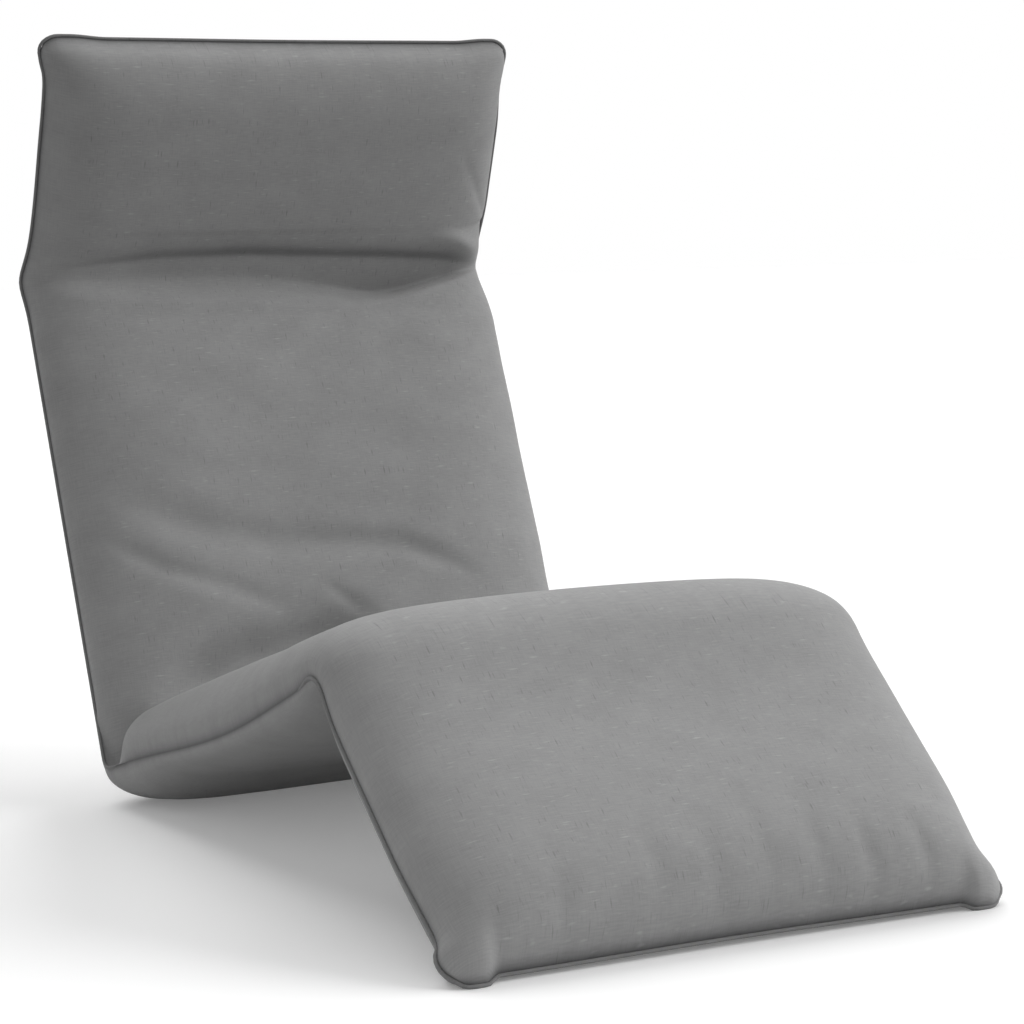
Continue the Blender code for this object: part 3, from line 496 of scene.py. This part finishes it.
def swell(piece, held):
    """Where the points end up when pressure blows the piece up while some are held."""
    group = piece.vertex_groups.new(name="held")
    group.add([int(i) for i in np.flatnonzero(held)], 1.0, "REPLACE")
    cloth = piece.modifiers.new("swell", "CLOTH")
    settings = cloth.settings
    settings.quality = 5
    settings.mass = 0.15
    settings.tension_stiffness = settings.compression_stiffness = 25
    settings.shear_stiffness = 12
    settings.bending_stiffness = 3.0
    settings.shrink_min = -0.005
    settings.use_pressure = True
    settings.uniform_pressure_force = PRESSURE
    settings.vertex_group_mass = group.name
    settings.effector_weights.gravity = 0
    cloth.point_cache.frame_start, cloth.point_cache.frame_end = 1, SWELL_FRAMES
    for number in range(1, SWELL_FRAMES + 1):
        bpy.context.scene.frame_set(number)
    seen = piece.evaluated_get(bpy.context.evaluated_depsgraph_get())
    swollen = np.zeros(len(piece.data.vertices) * 3)
    seen.data.vertices.foreach_get("co", swollen)
    piece.modifiers.remove(cloth)
    piece.vertex_groups.remove(group)
    bpy.context.scene.frame_set(1)
    return swollen.reshape(-1, 3)

# %% Swell and even out
EVENING_ROUNDS, LOOSE_SHARE = 120, 0.12
STILL_KNEE, STILL_CREASE = 0.09, 0.035
KNEE_FADE = (0.05, 0.26)


def evened(moves, held, rounds):
    """Average each point's move with its neighbours', as firm foam does under thin cloth."""
    ends = np.zeros(len(cover_mesh.edges) * 2, int)
    cover_mesh.edges.foreach_get("vertices", ends)
    one, two = ends.reshape(-1, 2).T
    count = np.bincount(ends, minlength=len(moves))[:, None]
    for _ in range(rounds):
        total = np.zeros_like(moves)
        np.add.at(total, one, moves[two])
        np.add.at(total, two, moves[one])
        moves = np.where(held[:, None], 0, (moves + total / count) / 2)
    return moves


still = (side > 0) & ((np.abs(station - NECK) < VALLEY_REACH) | (np.abs(station - KNEE) < STILL_KNEE))
for middle, where, _, _ in CREASES:
    still |= (side == where) & (np.abs(station - middle) < STILL_CREASE)
held = (side == 0) | still | (placed[:, 2] <= FLOOR_TOUCH)
swollen = swell(cover, held)
moved = swollen - placed
far = np.linalg.norm(moved, axis=1, keepdims=True)
print("swelling: mean", round(float(far.mean()), 5), "most", round(float(far.max()), 5))
moved *= SWELL_CAP * np.tanh(far / SWELL_CAP) / np.maximum(far, 1e-9)
moved = LOOSE_SHARE * moved + (1 - LOOSE_SHARE) * evened(moved, held, EVENING_ROUNDS)
moved *= np.where(side > 0, smooth(*KNEE_FADE, np.abs(station - KNEE)), 1)[:, None]
placed = keep_apart(placed + moved)
cover_mesh.vertices.foreach_set("co", placed.ravel())
cover_mesh.update()

# %% [markdown]
# ## Folds in the cloth
# Some folds belong to this object and not to the cloth in general: the soft drag lines low on the
# back, the shade where the back comes down behind the seat, and the puckers beside the front seam.
# Each line is drawn on the flat top panel, as (share across, distance from a hinge), and pushed in
# along the surface. A pucker is a short dent that runs lengthwise, and a little of Blender's own
# noise makes the back pad as uneven as foam under cloth is.

# %% Fold lines
FOLDS = (
    # push, half widths at both ends, the hinge, and the points of the line from left to right
    (-0.0080, (0.030, 0.011), HIP,
     ((-1.00, 0.335), (-0.82, 0.294), (-0.67, 0.266), (-0.47, 0.245), (-0.21, 0.227), (0.05, 0.222),
      (0.31, 0.213), (0.53, 0.183), (0.72, 0.152))),
    (-0.0042, (0.012, 0.015), HIP,
     ((-0.98, 0.262), (-0.85, 0.236), (-0.71, 0.208), (-0.60, 0.194), (-0.48, 0.181), (-0.16, 0.142))),
    (-0.0030, (0.007, 0.010), HIP, ((-0.08, 0.178), (0.03, 0.150), (0.14, 0.128))),
    # the shade where the back comes down behind the seat
    (-0.0270, (0.034, 0.034), HIP,
     ((-0.88, 0.042), (-0.67, 0.066), (-0.42, 0.088), (-0.11, 0.103), (0.20, 0.112))),
    # the pull in the right side of the head rest
    (-0.0025, (0.006, 0.006), NECK, ((0.76, 0.175), (0.83, 0.149), (0.90, 0.115), (1.02, 0.065))),
)
FOLD_FADE = 0.3  # share of a line's run over which each end fades


def fold_line(height, half_widths, hinge, line):
    """Push of one fold at every point of the top panel, fading out at the line's ends."""
    places, downs = zip(*line)
    first, last = places[0], places[-1]
    half_width = np.interp(share, (first, last), half_widths)
    fade = (last - first) * FOLD_FADE
    offset = station - np.interp(share, places, hinge + np.array(downs))
    strength = smooth(first, first + fade, share) * (1 - smooth(last - fade, last, share))
    return np.where(side > 0, height * strength * np.exp(-(offset / half_width) ** 2), 0)

# %% Puckers and lumps
PUCKER_HALF = 0.008
# share across, distance from the foot, length and depth
PUCKERS = ((-0.86, 0.012, 0.030, 0.0026), (-0.63, 0.030, 0.045, 0.0017), (-0.29, 0.060, 0.050, 0.0019),
           (-0.09, 0.045, 0.045, 0.0020), (0.10, 0.052, 0.045, 0.0017), (0.29, 0.050, 0.050, 0.0023),
           (0.47, 0.035, 0.045, 0.0031), (0.68, 0.034, 0.040, 0.0023))
LUMP, LUMP_ACROSS, LUMP_ALONG = 0.0034, 0.11, 0.06
LUMPS_START, LUMPS_END = (HIP + 0.06, HIP + 0.16), (NECK - 0.13, NECK - 0.07)


def pucker(middle, down, length, depth):
    """Push of one short dent at every point of the top panel."""
    across = (share - middle) * SEAM_HALF / PUCKER_HALF
    return np.where(side > 0, -depth * np.exp(-across ** 2 - ((station - down) / length) ** 2), 0)


def lumps():
    """Faint unevenness of the back pad, from Blender's own noise."""
    back = (side > 0) * smooth(*LUMPS_START, station) * (1 - smooth(*LUMPS_END, station))
    places = np.c_[flat_x / LUMP_ACROSS, flat_s / LUMP_ALONG, np.zeros(len(share))]
    height = np.array([noise.noise(place) if here else 0 for place, here in zip(places, back > 0)])
    return LUMP * back * crowned(share, station) * height


def push(amount):
    """Move the cover's points along its own surface direction by an amount for each point."""
    global placed
    normals = np.zeros(len(placed) * 3)
    cover_mesh.vertex_normals.foreach_get("vector", normals)
    placed = keep_apart(placed + normals.reshape(-1, 3) * amount[:, None])
    cover_mesh.vertices.foreach_set("co", placed.ravel())
    cover_mesh.update()


push(sum(fold_line(*fold) for fold in FOLDS) + sum(pucker(*place) for place in PUCKERS) + lumps())
print("folds pushed in:", len(FOLDS), "puckers:", len(PUCKERS))

# %% [markdown]
# One level of subdivision rounds the grid off. The seam keeps its edge, because its edges get a
# crease of one. Two more things are kept on the mesh for the cloth's material: a mask of painted
# shade, one at the seam and high in the neck's tuck, where little light comes, and the flat layout in
# metres.

# %% Smooth and finish the cover
# how strong the painted shade in the neck's tuck is, against one at the seam
PAINTED_TUCK_SHADE = 0.78

crease = cover_mesh.attributes.new("crease_edge", "FLOAT", "EDGE")
edge_points = np.zeros(len(cover_mesh.edges) * 2, int)
cover_mesh.edges.foreach_get("vertices", edge_points)
on_seam = (side == 0)[edge_points.reshape(-1, 2)].all(1)
crease.data.foreach_set("value", on_seam.astype(np.float32))

# the mask of painted shade: one on the seam, and high in the neck's tuck
painted_shade_mask = cover_mesh.attributes.new("seam", "FLOAT", "POINT")
painted_shade_mask.data.foreach_set("value", np.maximum(side == 0, PAINTED_TUCK_SHADE * in_tuck).astype(np.float32))
layout = cover_mesh.uv_layers.new(name="cloth")
corner_points = np.zeros(len(cover_mesh.loops), int)
cover_mesh.loops.foreach_get("vertex_index", corner_points)
layout.data.foreach_set("uv", np.stack([flat_x, flat_s], 1)[corner_points].ravel())

rounding = cover.modifiers.new("rounding", "SUBSURF")
rounding.levels = rounding.render_levels = 1
seen = cover.evaluated_get(bpy.context.evaluated_depsgraph_get())
smooth_mesh = bpy.data.meshes.new_from_object(seen)
bpy.data.objects.remove(cover)
print("cover after rounding:", len(smooth_mesh.vertices), "points")

# %% [markdown]
# ## Three pieces for three hinges
# Each piece is closed with a hidden face, and keeps the surface direction of the uncut cover, so
# that the cut doesn't show.

# %% Cut the cover
BEFORE_FOOT, PAST_HEAD = -1, 9
CUTS = {"cover_seat_leg": (BEFORE_FOOT, CUT_SEAT), "cover_back_seat": (CUT_SEAT, CUT_BACK),
        "cover_head_back": (CUT_BACK, PAST_HEAD)}
uncut = smooth_mesh.attributes.new("uncut_normal", "FLOAT_VECTOR", "POINT")
normals = np.zeros(len(smooth_mesh.vertices) * 3)
smooth_mesh.vertex_normals.foreach_get("vector", normals)
uncut.data.foreach_set("vector", normals)


def cut_piece(name, low, high):
    """The part of the cover between two distances from the foot, closed and shaded as before."""
    shape = bmesh.new()
    shape.from_mesh(smooth_mesh)
    down = shape.verts.layers.float["down"]
    outside = []
    for face in shape.faces:
        middle = sum(vert[down] for vert in face.verts) / len(face.verts)
        if not low < middle < high:
            outside.append(face)
    bmesh.ops.delete(shape, geom=outside, context="FACES")
    rim = [edge for edge in shape.edges if edge.is_boundary]
    skin_faces = len(shape.faces)
    bmesh.ops.holes_fill(shape, edges=rim, sides=0)
    mesh = bpy.data.meshes.new(name)
    shape.to_mesh(mesh)
    shape.free()
    mesh.shade_smooth()
    kept = np.zeros(len(mesh.vertices) * 3)
    mesh.attributes["uncut_normal"].data.foreach_get("vector", kept)
    kept = kept.reshape(-1, 3)
    directions = []
    for number, face in enumerate(mesh.polygons):
        directions += [tuple(face.normal) if number >= skin_faces else tuple(kept[v])
                       for v in face.vertices]
    mesh.normals_split_custom_set(directions)
    piece = bpy.data.objects.new(name, mesh)
    bpy.context.scene.collection.objects.link(piece)
    return piece


covers = {name: cut_piece(name, *span) for name, span in CUTS.items()}
for name, piece in covers.items():
    print(name, len(piece.data.polygons), "faces")

# %% [markdown]
# ## Piping
# A covered cord is sewn into the seam all the way round. It is a round section swept along the
# seam, and a Curve with a bevel does that in one step. Along the seat and at the right foot corner
# it lies a little deeper in the seam. Each strand becomes a mesh, because it bends with the cover.

# %% Piping cord
CORD_RADIUS, CORD_OUT = 0.0019, 0.0012
CORD_STEP, END_POINTS = 0.006, 100
SEAT_IN, SEAT_CORD = 0.0034, ((KNEE, KNEE + 0.05), (HIP - 0.03, HIP))
HEAD_OUT, HEAD_CORD = 0.0010, ((NECK + 0.03, NECK + 0.08), (0.05, 0.10))
FOOT_IN, FOOT_CORD = 0.0018, ((0.80, 0.95), (0.03, 0.07))


def seam_loop():
    """The cord's middle line round the flat cover, as share across and distance down."""
    sides = np.union1d(np.arange(0, SEAM_LENGTH, CORD_STEP), (CUT_SEAT, CUT_BACK))
    ends = np.linspace(-1, 1, END_POINTS)
    shares = np.concatenate([np.full(len(sides), 1.0), -ends, np.full(len(sides), -1.0), ends])
    downs = np.concatenate([sides, np.full(END_POINTS, SEAM_LENGTH), sides[::-1], np.zeros(END_POINTS)])
    return shares, downs


def cord_out(shares, downs):
    """How far the cord lies outside the seam, all the way round."""
    starts, ends = SEAT_CORD
    by_seat = smooth(*starts, downs) * (1 - smooth(*ends, downs))
    starts, ends = HEAD_CORD
    right_of_head = (shares > 0) * smooth(*starts, downs) * smooth(*ends, SEAM_LENGTH - downs)
    starts, ends = FOOT_CORD
    right_foot = smooth(*starts, shares) * (1 - smooth(*ends, downs))
    return CORD_OUT - SEAT_IN * by_seat + HEAD_OUT * right_of_head - FOOT_IN * right_foot

# %% Sweep the cord
CORD_LEAST_STEP, CUT_SLACK = 0.0008, 1e-6


def cord_strand(name, low, high):
    """The cord between two distances from the foot, as a mesh."""
    shares, downs = seam_loop()
    across, down = cut_outline(shares, downs, cord_out(shares, downs))
    points = fold_up(across, down, seam_arch(shares, down))
    points[:, 2] = np.maximum(points[:, 2], CORD_RADIUS)
    line = bpy.data.curves.new(name, "CURVE")
    line.dimensions = "3D"
    line.bevel_depth = CORD_RADIUS
    line.bevel_resolution = 3
    line.use_fill_caps = True
    within = (downs >= low - CUT_SLACK) & (downs <= high + CUT_SLACK)
    runs = np.split(np.arange(len(downs)), np.flatnonzero(np.diff(within.astype(int))) + 1)
    runs = [run for run in runs if within[run[0]]]
    if len(runs) > 1 and within[0] and within[-1]:
        runs[0] = np.concatenate([runs.pop(), runs[0]])
    for run in runs:
        strand = points[run]
        steps = np.linalg.norm(np.diff(strand, axis=0), axis=1)
        strand = strand[np.concatenate([[True], steps > CORD_LEAST_STEP])]
        spline = line.splines.new("POLY")
        spline.points.add(len(strand) - 1)
        spline.points.foreach_set("co", np.c_[strand, np.ones(len(strand))].ravel())
    made = bpy.data.objects.new(name, line)
    bpy.context.scene.collection.objects.link(made)
    seen = made.evaluated_get(bpy.context.evaluated_depsgraph_get())
    mesh = bpy.data.meshes.new_from_object(seen)
    bpy.data.objects.remove(made)
    mesh.shade_smooth()
    piece = bpy.data.objects.new(name, mesh)
    bpy.context.scene.collection.objects.link(piece)
    return piece


cords = {}
for cover_name, span in CUTS.items():
    name = cover_name.replace("cover", "piping")
    cords[name] = cord_strand(name, *span)
    print(name, len(cords[name].data.polygons), "faces")

# %% [markdown]
# ## Cloth and metal
# The cover is a plain woven cloth of mid grey yarn with thicker and thinner threads, as linen
# has. A weave drawn only by a picture would blur close up, so a node group makes the threads from
# the flat layout of the panels, which is kept as the UV map in metres. Stretched noise gives the
# uneven yarn, and where it peaks, single thick threads show as short light and dark dashes. The
# piping, the straps and the cover share this group with their own thread sizes.

# %% Node helpers
def sockets(group, **rows):
    """Named inputs and outputs of a node group, one row each."""
    for name, (way, kind, value) in rows.items():
        socket = group.interface.new_socket(name, in_out=way, socket_type=kind)
        if value is not None:
            socket.default_value = value


def math_node(tree, operation, one, two=None):
    """A Math node: numbers are set on it, and other nodes' outputs are linked to it."""
    made = tree.nodes.new("ShaderNodeMath")
    made.operation = operation
    for socket, value in zip(made.inputs, (one, two)):
        if value is None:
            continue
        if isinstance(value, (int, float)):
            socket.default_value = value
        else:
            tree.links.new(value, socket)
    return made.outputs[0]


def stretched_noise(tree, vector, scale, detail=2.0):
    """Noise pulled out along one thread direction."""
    place = tree.nodes.new("ShaderNodeMapping")
    place.inputs["Scale"].default_value = scale
    tree.links.new(vector, place.inputs["Vector"])
    made = tree.nodes.new("ShaderNodeTexNoise")
    made.inputs["Scale"].default_value = 1.0
    made.inputs["Detail"].default_value = detail
    tree.links.new(place.outputs[0], made.inputs["Vector"])
    return made.outputs[0]

# %% Weave group
# how often each noise changes per metre across, along and through the cloth
SLUB_WEFT, SLUB_WARP, BLOTCH = (70, 950, 1), (950, 60, 1), (22, 30, 1)
THICK_WEFT, THICK_WARP = (80, 480, 1), (480, 80, 1)
WEFT_SHARE, WARP_SHARE = 0.62, 0.38
SLUB_GAIN, THREAD_GAIN, BLOTCH_GAIN, THICK_GAIN = 2.4, 0.06, 0.35, 2.2
THICK_LEVEL = 0.70
FLAT_HALF = 0.250  # past this the layout is squeezed on the pads' side walls

weave = bpy.data.node_groups.new("plain_weave", "ShaderNodeTree")
sockets(weave, Layout=("INPUT", "NodeSocketVector", None), Thread=("INPUT", "NodeSocketFloat", 0.001),
        Slub=("INPUT", "NodeSocketFloat", 0.5),
        Shade=("OUTPUT", "NodeSocketFloat", None), Height=("OUTPUT", "NodeSocketFloat", None))
entry = weave.nodes.new("NodeGroupInput")
leave = weave.nodes.new("NodeGroupOutput")
split = weave.nodes.new("ShaderNodeSeparateXYZ")
place = entry.outputs["Layout"]
weave.links.new(place, split.inputs[0])
turns = math_node(weave, "DIVIDE", 2 * math.pi, entry.outputs["Thread"])
warp = math_node(weave, "SINE", math_node(weave, "MULTIPLY", split.outputs[0], turns))
weft = math_node(weave, "SINE", math_node(weave, "MULTIPLY", split.outputs[1], turns))
threads = math_node(weave, "MULTIPLY", warp, weft)

# %% Uneven yarn
def thick_threads(scale):
    """Sparse places where a single thread is thicker than the rest."""
    spots = stretched_noise(weave, place, scale, 0.0)
    return math_node(weave, "MAXIMUM", math_node(weave, "SUBTRACT", spots, THICK_LEVEL), 0)


slubs = math_node(weave, "ADD",
                  math_node(weave, "MULTIPLY", stretched_noise(weave, place, SLUB_WEFT), WEFT_SHARE),
                  math_node(weave, "MULTIPLY", stretched_noise(weave, place, SLUB_WARP), WARP_SHARE))
slubs = math_node(weave, "SUBTRACT", slubs, 0.5)
uneven = math_node(weave, "MULTIPLY", slubs, entry.outputs["Slub"])
uneven = math_node(weave, "MULTIPLY", uneven, SLUB_GAIN)
uneven = math_node(weave, "ADD", uneven, math_node(weave, "MULTIPLY", threads, THREAD_GAIN))
blotch = math_node(weave, "SUBTRACT", stretched_noise(weave, place, BLOTCH, 4.0), 0.5)
uneven = math_node(weave, "ADD", uneven, math_node(weave, "MULTIPLY", blotch, BLOTCH_GAIN))
thick = math_node(weave, "SUBTRACT", thick_threads(THICK_WEFT), thick_threads(THICK_WARP))
thick = math_node(weave, "MULTIPLY", thick, THICK_GAIN)
off_the_walls = math_node(weave, "LESS_THAN", math_node(weave, "ABSOLUTE", split.outputs[0]), FLAT_HALF)
uneven = math_node(weave, "ADD", uneven, math_node(weave, "MULTIPLY", thick, off_the_walls))
weave.links.new(math_node(weave, "ADD", uneven, 0.5), leave.inputs["Shade"])
height = math_node(weave, "ADD", math_node(weave, "MULTIPLY", threads, 0.5), slubs)
weave.links.new(height, leave.inputs["Height"])
print("weave group nodes:", len(weave.nodes))

# %% Cloth materials
def cloth_material(name, dark, light, thread, slub, bump, layout="UV"):
    """A matt woven cloth, with the nodes that the cover's own shading needs."""
    made = bpy.data.materials.new(name)
    made.use_nodes = True
    tree = made.node_tree
    shader = tree.nodes["Principled BSDF"]
    shader.inputs["Roughness"].default_value = 0.92
    shader.inputs["Specular IOR Level"].default_value = 0.18
    shader.inputs["Sheen Weight"].default_value = 0.12
    shader.inputs["Sheen Roughness"].default_value = 0.5
    where = tree.nodes.new("ShaderNodeTexCoord")
    yarn = tree.nodes.new("ShaderNodeGroup")
    yarn.node_tree = weave
    yarn.inputs["Thread"].default_value = thread
    yarn.inputs["Slub"].default_value = slub
    tree.links.new(where.outputs[layout], yarn.inputs["Layout"])
    ramp = tree.nodes.new("ShaderNodeValToRGB")
    ramp.color_ramp.elements[0].color = (*dark, 1)
    ramp.color_ramp.elements[1].color = (*light, 1)
    tree.links.new(yarn.outputs["Shade"], ramp.inputs[0])
    tree.links.new(ramp.outputs[0], shader.inputs["Base Color"])
    relief = tree.nodes.new("ShaderNodeBump")
    relief.inputs["Strength"].default_value = bump
    relief.inputs["Distance"].default_value = 0.0006
    tree.links.new(yarn.outputs["Height"], relief.inputs["Height"])
    tree.links.new(relief.outputs[0], shader.inputs["Normal"])
    return made, tree, ramp, shader


# painted shade: where the mask is high, at the seam and in the neck's tuck, the cloth's colour is multiplied
# darker
PAINTED_SEAM_SHADE, SEAM_NARROW = (0.35, 0.35, 0.36, 1), 3.0
cover_cloth, tree, ramp, shader = cloth_material(
    "grey_linen_cloth", (0.22, 0.22, 0.22), (0.42, 0.42, 0.42), 0.0008, 0.30, 0.25)
mask = tree.nodes.new("ShaderNodeAttribute")
mask.attribute_name = "seam"
shaded = tree.nodes.new("ShaderNodeMix")
shaded.data_type = "RGBA"
shaded.blend_type = "MULTIPLY"
shaded.inputs["B"].default_value = PAINTED_SEAM_SHADE
tree.links.new(math_node(tree, "POWER", mask.outputs["Fac"], SEAM_NARROW), shaded.inputs["Factor"])
tree.links.new(ramp.outputs[0], shaded.inputs["A"])
tree.links.new(shaded.outputs["Result"], shader.inputs["Base Color"])
piping_cloth = cloth_material(
    "grey_piping", (0.16, 0.16, 0.16), (0.28, 0.28, 0.28), 0.0009, 0.4, 0.3, "Object")[0]
strap_cloth = cloth_material(
    "black_strap_weave", (0.018, 0.018, 0.020), (0.055, 0.055, 0.058), 0.0016, 0.3, 0.5, "Object")[0]
print("cloths:", cover_cloth.name, piping_cloth.name, strap_cloth.name)

# %% [markdown]
# The frame under the cloth is rarely seen, but it is part of the model. Its tubes carry a
# fine-grained powder coat, and the hinge plates and springs are bright zinc and tempered steel.

# %% Metal materials
def metal_material(name, dark, light, metallic, rough, grain):
    """A metal or painted metal with fine spots in its colour, gloss and surface."""
    made = bpy.data.materials.new(name)
    made.use_nodes = True
    tree = made.node_tree
    shader = tree.nodes["Principled BSDF"]
    shader.inputs["Metallic"].default_value = metallic
    where = tree.nodes.new("ShaderNodeTexCoord")
    spots = stretched_noise(tree, where.outputs["Object"], grain, 5.0)
    ramp = tree.nodes.new("ShaderNodeValToRGB")
    ramp.color_ramp.elements[0].color = (*dark, 1)
    ramp.color_ramp.elements[1].color = (*light, 1)
    tree.links.new(spots, ramp.inputs[0])
    tree.links.new(ramp.outputs[0], shader.inputs["Base Color"])
    tree.links.new(math_node(tree, "ADD", math_node(tree, "MULTIPLY", spots, 0.25), rough),
                   shader.inputs["Roughness"])
    relief = tree.nodes.new("ShaderNodeBump")
    relief.inputs["Strength"].default_value = 0.15
    relief.inputs["Distance"].default_value = 0.0002
    tree.links.new(spots, relief.inputs["Height"])
    tree.links.new(relief.outputs[0], shader.inputs["Normal"])
    return made


frame_coat = metal_material("dark_powder_coat", (0.06, 0.06, 0.065), (0.12, 0.12, 0.13), 0.0, 0.45,
                            (900, 900, 900))
hinge_zinc = metal_material("zinc_plate", (0.50, 0.50, 0.50), (0.66, 0.66, 0.65), 1.0, 0.28,
                            (160, 160, 160))
spring_blue = metal_material("tempered_steel", (0.30, 0.31, 0.35), (0.46, 0.47, 0.50), 1.0, 0.22,
                             (300, 300, 300))
print("metals:", frame_coat.name, hinge_zinc.name, spring_blue.name)

# %% Dress the pieces and the hidden nodes
for piece in covers.values():
    piece.data.materials.clear()
    piece.data.materials.append(cover_cloth)
for piece in cords.values():
    piece.data.materials.clear()
    piece.data.materials.append(piping_cloth)
SLOT_FINISH = {"webbing_strap": strap_cloth, "frame_paint": frame_coat, "hinge_steel": hinge_zinc,
               "spring_steel": spring_blue, "cover_fabric": cover_cloth,
               "piping_fabric": piping_cloth, "pad_foam": cover_cloth}
for row in frame["record"]["subparts"]:
    node = frame["nodes"][row["node"]]
    node.data.materials.clear()
    node.data.materials.append(SLOT_FINISH[row["material_slot"]])

# %% [markdown]
# ## Floor and light
# A pale studio: one broad light from the right, one from above and behind, a weak one from the
# left, and an even surround.
# The camera sees the floor and the surround as white. For light that bounces, only a round sheet
# under the lounger is pale and the floor beyond it is dark, so that light from below reaches the
# seat and little of it the head rest, as in the picture.

# %% Floor
FLOOR_HALF = 12
SHEET_AT, SHEET_FADE = (0, -0.3, 0), (0.7, 1.6)
SHEET_BOUNCE, FAR_BOUNCE = 0.72, 0.12
FLOOR_PALE, FLOOR_LIFT = (0.88, 0.88, 0.88, 1), 0.16

shape = bmesh.new()
bmesh.ops.create_grid(shape, x_segments=1, y_segments=1, size=FLOOR_HALF)
floor_mesh = bpy.data.meshes.new("floor")
shape.to_mesh(floor_mesh)
shape.free()
floor = bpy.data.objects.new("floor", floor_mesh)
bpy.context.scene.collection.objects.link(floor)

# %% What is seen directly
def seen_directly(tree):
    """One where the camera, a mirror or a glass looks, and zero where light bounces."""
    path = tree.nodes.new("ShaderNodeLightPath")
    both = math_node(tree, "MAXIMUM", path.outputs["Is Camera Ray"], path.outputs["Is Glossy Ray"])
    return math_node(tree, "MAXIMUM", both, path.outputs["Is Transmission Ray"])

# %% Floor paint
floor_paint = bpy.data.materials.new("pale_floor")
floor_paint.use_nodes = True
tree = floor_paint.node_tree
tree.nodes.remove(tree.nodes["Principled BSDF"])
where = tree.nodes.new("ShaderNodeTexCoord")
away = tree.nodes.new("ShaderNodeVectorMath")
away.operation = "DISTANCE"
away.inputs[1].default_value = SHEET_AT
tree.links.new(where.outputs["Object"], away.inputs[0])
sheet = tree.nodes.new("ShaderNodeMapRange")
sheet.inputs["From Min"].default_value, sheet.inputs["From Max"].default_value = SHEET_FADE
sheet.inputs["To Min"].default_value = SHEET_BOUNCE
sheet.inputs["To Max"].default_value = FAR_BOUNCE
tree.links.new(away.outputs["Value"], sheet.inputs["Value"])
bounce = tree.nodes.new("ShaderNodeBsdfDiffuse")
tree.links.new(sheet.outputs[0], bounce.inputs["Color"])
pale = tree.nodes.new("ShaderNodeBsdfDiffuse")
pale.inputs["Color"].default_value = FLOOR_PALE
lift = tree.nodes.new("ShaderNodeEmission")
lift.inputs["Strength"].default_value = FLOOR_LIFT
both = tree.nodes.new("ShaderNodeAddShader")
tree.links.new(pale.outputs[0], both.inputs[0])
tree.links.new(lift.outputs[0], both.inputs[1])
choice = tree.nodes.new("ShaderNodeMixShader")
tree.links.new(seen_directly(tree), choice.inputs[0])
tree.links.new(bounce.outputs[0], choice.inputs[1])
tree.links.new(both.outputs[0], choice.inputs[2])
tree.links.new(choice.outputs[0], tree.nodes["Material Output"].inputs["Surface"])
floor_mesh.materials.append(floor_paint)
print("floor laid, paint nodes:", len(tree.nodes))

# %% Surround and lamps
SURROUND = 0.10

world = bpy.data.worlds.new("studio")
world.use_nodes = True
bpy.context.scene.world = world
tree = world.node_tree
surround = tree.nodes["Background"]
amount = math_node(tree, "ADD", math_node(tree, "MULTIPLY", seen_directly(tree), 1 - SURROUND), SURROUND)
tree.links.new(amount, surround.inputs["Strength"])
surround.inputs["Color"].default_value = (1, 1, 1, 1)
bpy.context.scene.view_settings.view_transform = "Standard"


def soft_sun(name, comes_from, spread, strength):
    """Even light from one side of the sky; a wide spread gives soft shadows."""
    lamp = bpy.data.lights.new(name, "SUN")
    lamp.angle = math.radians(spread)
    lamp.energy = strength
    made = bpy.data.objects.new(name, lamp)
    made.rotation_euler = Vector(comes_from).to_track_quat("Z", "Y").to_euler()
    bpy.context.scene.collection.objects.link(made)


soft_sun("right_light", (0.9, -0.3, 0.45), 50, 2.5)
soft_sun("top_light", (0.1, 0.6, 0.8), 60, 2.1)
soft_sun("left_light", (-0.7, -0.5, 0.5), 60, 0.75)
print("studio lit")

# %% [markdown]
# ## Hanging the pieces on the frame
# Each cover and its piping bends across one hinge. At knee and hip it bends in a narrow band on the
# plane that halves the fold, because the pads on either side of a crease keep their shape. At the
# neck the band is as wide as the soft valley.

# %% Ride and replace
BANDS = (0.0010, 0.0010, 0.036)  # half widths at knee, hip and neck
BENDS = {"seat_leg": ("leg", "seat", 0), "back_seat": ("seat", "back", 1),
         "head_back": ("back", "head", 2)}
STANDS_FOR = {
    "seat_leg": ("leg_cover", "leg_foam_upper", "leg_foam_lower", "knee_fold_cover",
                 "seat_foam_upper", "seat_foam_lower"),
    "back_seat": ("seat_cover", "hip_fold_cover", "back_cover", "back_foam_upper", "back_foam_lower"),
    "head_back": ("neck_fold_cover", "head_cover", "head_foam_upper", "head_foam_lower"),
}
CORD_FOR = {
    "seat_leg": ("leg_piping",),
    "back_seat": ("back_piping_left", "back_piping_right", "seat_piping_left", "seat_piping_right"),
    "head_back": ("head_piping",),
}
for tail, (first, second, bend) in BENDS.items():
    across_fold = along((LEANS[bend] + LEANS[bend + 1]) / 2) * BANDS[bend]
    start = (0, *(HINGES_AT[bend] - across_fold))
    end = (0, *(HINGES_AT[bend] + across_fold))
    for piece in (covers["cover_" + tail], cords["piping_" + tail]):
        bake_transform(piece, first, second, start=start, end=end)
    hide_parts(*STANDS_FOR[tail])
    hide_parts(*CORD_FOR[tail])
